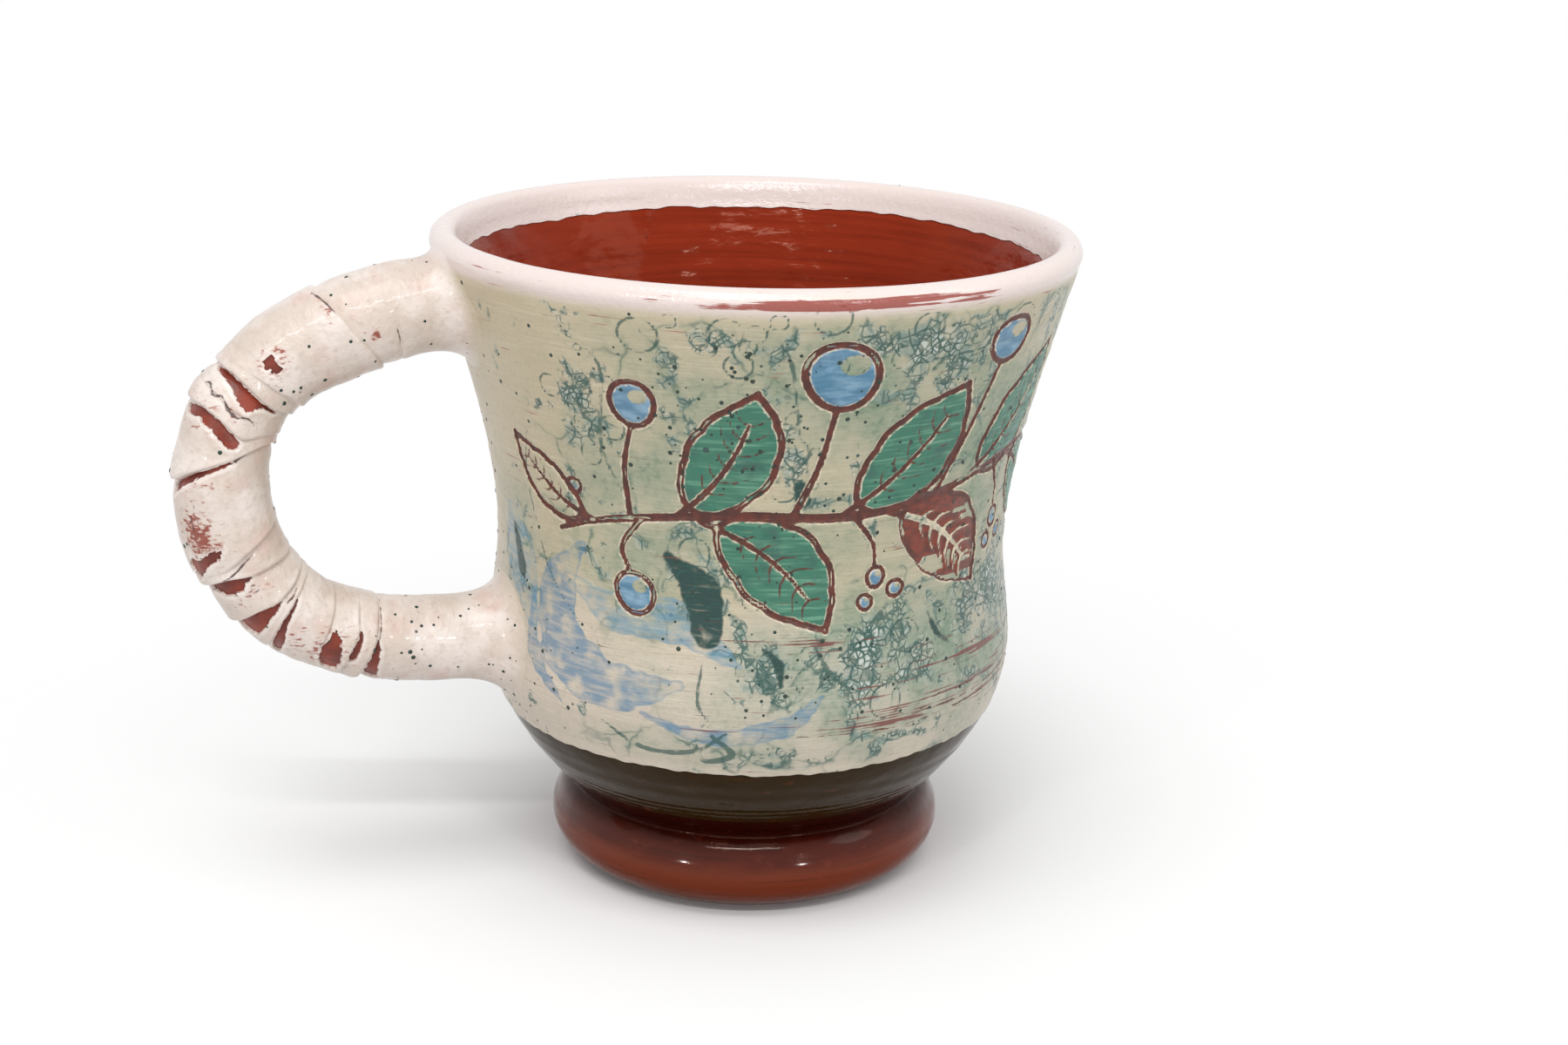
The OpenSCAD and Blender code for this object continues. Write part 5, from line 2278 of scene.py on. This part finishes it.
@dataclass(frozen=True)
class Joint:
    """Clay smoothed from the coil onto the wall, with slip over it."""

    handle: Handle
    end: JointEnd
    spread_near: float
    spread_far: float
    spread_side: float
    rows: int = 54
    sunk: float = 0.05
    # How long the surface keeps to the coil's direction, and to the wall's, as shares of the gap
    leave_pull: float = 1.1
    land_pull: float = 1.15
    tip_out: float = 0.35
    tip_sunk: float = 0.3
    thickness: float = 0.9
    speck_way: float = 9.8

    def wall_surface(self, up: Array, side: Array) -> tuple[Array, Array]:
        """Gives points of the slip's face near the joint.

        Args:
            up: Ways up the wall from the joint's middle.
            side: Ways round the wall from it.

        Returns:
            The points in the frame, and the outward normals.
        """
        shape = self.handle.coil.shape
        z = np.linspace(20, shape.lip_foot[1], 900)
        lip = np.linspace(-shape.lip_angle, math.pi / 2, 120)[1:]
        line = np.concatenate([shape.wall_point(z, shape.slip_t), shape.lip_point(lip, shape.slip_t)])
        length = line_lengths(line)
        upper, lower = self.handle.coil.joint_zs
        middle = np.interp(upper if self.end is JointEnd.UPPER else lower, line[:900, 1], length[:900])
        before, here, after = (along_line(middle + up + step, length, line) for step in (-0.1, 0, 0.1))
        ahead = unit(after - before)
        radius, height = here[..., 0], here[..., 1]
        azimuth = HANDLE - side / radius
        cos, sin = np.cos(azimuth), np.sin(azimuth)
        point = np.stack([radius * cos, radius * sin, height], -1)
        normal = np.stack([ahead[..., 1] * cos, ahead[..., 1] * sin, -ahead[..., 0]], -1)
        return point, normal

    def make(self, material: Material) -> Piece:
        """Builds the joint.

        Args:
            material: Its material.

        Returns:
            The finished piece.
        """
        handle, coil = self.handle, self.handle.coil
        upper = self.end is JointEnd.UPPER
        angle = handle.net.angles()
        start = handle.net.first if upper else handle.net.last
        sign = -1.0 if upper else 1.0
        s = np.array([[start], [start + sign * 0.05]]) + 0 * angle
        edge_r = coil.plain_r(s, angle) + handle.slip_t + handle.net.press(s, angle)
        ring, beyond = coil.point(s, angle, edge_r)
        leave = unit(beyond - ring)
        # The coil's outer side is up at the upper joint, and down at the lower one
        up_share = np.cos(angle) if upper else -np.cos(angle)
        radius = coil.top_r if upper else coil.low_r
        outer, inner = (1 + np.cos(angle)) / 2, (1 - np.cos(angle)) / 2
        spread = radius + handle.slip_t + self.spread_far * outer**2 + self.spread_near * inner**2
        spread = spread + self.spread_side * np.sin(angle) ** 2
        side, up = spread * np.sin(angle), spread * up_share
        foot, normal = self.wall_surface(up, side)
        land = unit(foot - self.wall_surface(up * 0.93, side * 0.93)[0])
        foot = foot - normal * self.sunk
        gap = np.linalg.norm(foot - ring, axis=-1, keepdims=True)
        t = np.linspace(0, 1, self.rows)[:, None, None]
        t = 0.3 * (1 - np.cos(math.pi * t)) + 0.4 * t
        face = ease(ring, foot, leave * gap * self.leave_pull, land * gap * self.land_pull, t)
        face = np.concatenate([face, (foot + land * self.tip_out - normal * self.tip_sunk)[None]])
        t = np.concatenate([t, np.ones((1, 1, 1))])
        axis = ring.mean(axis=0) * (1 - t) + foot.mean(axis=0) * t
        back = face + self.thickness * unit(axis - face)
        back[-1] = face[-1] - normal * 0.25
        s = start + sign * np.linspace(0, self.speck_way, len(face))[:, None] + np.zeros(angle.shape)
        values = handle.skin_fields(s, angle)
        values["joined"] = np.broadcast_to(smooth(np.linspace(0, 1, len(face)), 0.45, 0.97)[:, None], s.shape)
        values["thin"] = np.zeros(s.shape)
        fields = both_faces(values)
        fields["edge"] = np.full(s.size * 2, 3.0)
        faces, hard = shell_faces(net_faces(*s.shape), s.size)
        points = np.concatenate([face.reshape(-1, 3), back.reshape(-1, 3)])
        piece = make_piece(f"{self.end.value}_joint", points, [faces], fields, hard)
        return settle(piece, material, Slot.SLIP, f"{self.end.value}_collar")


@dataclass(frozen=True)
class Specks:
    """Drops of dark glaze, scattered over a painted piece by Geometry Nodes."""

    per_square_mm: float = 0.09
    small: float = 0.12
    large: float = 0.34
    height_share: float = 0.28

    def tree(self) -> NodeTree:
        """Builds the tree that scatters drops where the piece's speck value is high.

        Returns:
            The tree.
        """
        tree, given = start_group("scattered_drops", {
            "Geometry": "Geometry", "Density": "Float", "Small": "Float", "Large": "Float",
            "Height Share": "Float", "Seed": "Int", "Material": "Material",
        })
        amount = tree.give("GeometryNodeInputNamedAttribute", {"Name": "speck"}, data_type="FLOAT")
        inputs = {"Mesh": given["Geometry"], "Density": amount * given["Density"], "Seed": given["Seed"]}
        scatter = tree.add("GeometryNodeDistributePointsOnFaces", inputs)
        drop = tree.give("GeometryNodeMeshUVSphere", {"Segments": 9, "Rings": 5, "Radius": 1.0})
        inputs = {2: given["Small"], 3: given["Large"], "Seed": given["Seed"]}
        size = tree.give("FunctionNodeRandomValue", inputs, 1, data_type="FLOAT")
        scale = tree.give("ShaderNodeCombineXYZ", {"X": size, "Y": size, "Z": size * given["Height Share"]})
        points, turn = scatter.outputs["Points"], scatter.outputs["Rotation"]
        inputs = {"Points": points, "Instance": drop, "Rotation": turn, "Scale": scale}
        drops = tree.give("GeometryNodeInstanceOnPoints", inputs)
        return end_group(tree, tree.give("GeometryNodeRealizeInstances", {0: drops}), given["Material"])

    def make(
        self, tree: NodeTree, name: str, carrier: Piece, seed: int, material: Material
    ) -> Piece:
        """Scatters drops over one piece.

        Args:
            tree: The tree that scatters drops.
            name: Name of the new piece.
            carrier: The piece that carries the drops.
            seed: Seed of their places.
            material: Their material.

        Returns:
            The finished piece.
        """
        piece = grow(link(name, carrier.data.copy()), tree, {
            "Density": self.per_square_mm / MM**2, "Small": self.small * MM, "Large": self.large * MM,
            "Height Share": self.height_share, "Seed": seed, "Material": material,
        })
        return settle(piece, material)


@dataclass(frozen=True)
class Studio:
    """Floor, lamps and camera. Lengths are in metres and angles in degrees."""

    camera_place: Place = (-0.1124, -0.3087, 0.1513)
    pitch: float = 17.21
    yaw: float = 20.84
    roll: float = 1.52
    lens: float = 54.96
    sensor: float = 36.0
    floor_size: float = 9.0
    floor_tint: float = 1.0
    bounce: float = 0.66
    floor_fade: Pair = (0.02, 0.17)
    sky: float = 0.57
    # Each lamp's name, place, size of its face and power
    lamps: tuple[tuple[str, Place, Pair, float], ...] = (
        ("key", (-0.25, -0.3, 1.05), (0.6, 0.42), 3.0),
        ("front", (-0.3, -0.85, 0.95), (0.9, 0.036), 4.5),
        ("fill", (0.75, -0.55, 0.6), (0.5, 0.5), 1.1),
        ("left_spark", (-0.85, -0.62, 0.3), (0.07, 0.07), 1.0),
        ("right_spark", (0.25, -1.02, 0.3), (0.07, 0.07), 1.0),
    )

    def add_camera(self) -> None:
        """Adds the camera at the photograph's viewing angle."""
        pitch, yaw, roll = (math.radians(a) for a in (self.pitch, self.yaw, self.roll))
        data = bpy.data.cameras.new("camera")
        data.lens = self.lens
        data.sensor_width = self.sensor
        data.sensor_fit = "HORIZONTAL"
        data.clip_start = 0.01
        data.clip_end = 50
        camera = bpy.data.objects.new("camera", data)
        camera.matrix_world = (
            Matrix.Translation(self.camera_place)
            @ Matrix.Rotation(-yaw, 4, "Z")
            @ Matrix.Rotation(math.pi / 2 - pitch, 4, "X")
            @ Matrix.Rotation(roll, 4, "Z")
        )
        bpy.context.scene.collection.objects.link(camera)
        bpy.context.scene.camera = camera

    @staticmethod
    def seen_directly(tree: Tree) -> Value:
        """Makes the value that is 1 for what the camera, a gloss or a glass shows.

        Args:
            tree: Tree that takes the value.

        Returns:
            The value.
        """
        path = tree.add("ShaderNodeLightPath").outputs
        rays = (path[f"Is {name} Ray"] for name in ("Camera", "Glossy", "Transmission"))
        camera, gloss, glass = (Value(tree, ray) for ray in rays)
        return camera | gloss | glass

    def add_floor(self) -> None:
        """Adds the pale floor, which keeps the object's shadow."""
        half = self.floor_size / 2
        corners = [(-half, -half, 0), (half, -half, 0), (half, half, 0), (-half, half, 0)]
        mesh = bpy.data.meshes.new("floor")
        mesh.from_pydata(corners, [], [(0, 1, 2, 3)])
        material = bpy.data.materials.new("pale_floor")
        material.use_nodes = True
        tree = Tree(material.node_tree)
        seen = self.seen_directly(tree)
        inputs = {"Value": seen, "To Min": self.bounce, "To Max": self.floor_tint}
        tint = tree.give("ShaderNodeMapRange", inputs)
        shader = tree.tree.nodes["Principled BSDF"]
        tree.put(shader, {"Base Color": tint, "Roughness": 0.9, "Specular IOR Level": 0.1})
        place = tree.give("ShaderNodeTexCoord", output="Object")
        away = tree.give("ShaderNodeVectorMath", {0: place}, "Value", operation="LENGTH")
        glow = tree.give("ShaderNodeEmission", {"Strength": 1.0})
        inputs = {0: away.soft(*self.floor_fade) * seen, 1: shader.outputs[0], 2: glow}
        mixed = tree.give("ShaderNodeMixShader", inputs)
        tree.put(tree.tree.nodes["Material Output"], {0: mixed})
        mesh.materials.append(material)
        link("floor", mesh)

    def add_sky(self) -> None:
        """Adds even light from all round, which the camera sees as white."""
        world = bpy.data.worlds.new("studio")
        world.use_nodes = True
        tree = Tree(world.node_tree)
        back = tree.tree.nodes["Background"]
        tree.put(back, {"Color": (1.0, 1.0, 1.0), "Strength": self.sky})
        white = tree.give("ShaderNodeBackground", {"Color": (1.0, 1.0, 1.0), "Strength": 1.0})
        seen = self.seen_directly(tree)
        mixed = tree.give("ShaderNodeMixShader", {0: seen, 1: back.outputs[0], 2: white})
        tree.put(tree.tree.nodes["World Output"], {0: mixed})
        bpy.context.scene.world = world

    def add_lamp(self, name: str, place: Place, size: Pair, power: float) -> None:
        """Adds one soft lamp that faces the mug.

        Args:
            name: Name of the lamp.
            place: Where it stands.
            size: Width and height of its face.
            power: Its power in watts.
        """
        data = bpy.data.lights.new(name, "AREA")
        data.shape = "ELLIPSE"
        data.size, data.size_y = size
        data.energy = power
        lamp = bpy.data.objects.new(name, data)
        lamp.location = place
        lamp.rotation_mode = "QUATERNION"
        lamp.rotation_quaternion = (Vector((0, 0, 0.05)) - Vector(place)).to_track_quat("-Z", "Y")
        bpy.context.scene.collection.objects.link(lamp)

    def build(self) -> None:
        """Adds everything round the object."""
        self.add_camera()
        self.add_floor()
        self.add_sky()
        for lamp in self.lamps:
            self.add_lamp(*lamp)
        bpy.context.scene.view_settings.view_transform = "Standard"


def main() -> None:
    """Builds the mug and the studio."""
    logging.basicConfig(level=logging.INFO, format="%(name)s: %(message)s")
    LOG.info("the packed model has %d nodes", len(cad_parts))
    Studio().build()
    shape = CupShape()
    clay, handle_slip = ClayFinish().make(), HandleFinish().make()
    spin_r = 1.0
    turning, turned = turning_tree(spin_r), Turned(shape)
    turned.body().make(turning, spin_r, clay)
    turned.foot().make(turning, spin_r, clay)
    turned.lining().make(turning, spin_r, LiningFinish().make())
    turned.foot_gloss().make(turning, spin_r, FootFinish().make())
    coat = SlipCoat(shape).make(SlipFinish().make())
    coil = Coil(shape)
    handle = Handle(coil, HandleNet(coil))
    handle.make_clay(clay)
    skin = handle.make_skin(handle_slip)
    upper = Joint(handle, JointEnd.UPPER, spread_near=4.6, spread_far=0.7, spread_side=2.6)
    lower = Joint(handle, JointEnd.LOWER, spread_near=3.6, spread_far=4.4, spread_side=3.6)
    carriers = {"body": coat, "handle": skin}
    for joint in (upper, lower):
        carriers[f"{joint.end.value}_joint"] = joint.make(handle_slip)
    specks, glaze = Specks(), SpeckFinish().make()
    drops = specks.tree()
    for seed, (name, carrier) in enumerate(carriers.items()):
        specks.make(drops, f"{name}_specks", carrier, 2 * seed + 3, glaze)


if __name__ == "__main__":
    main()
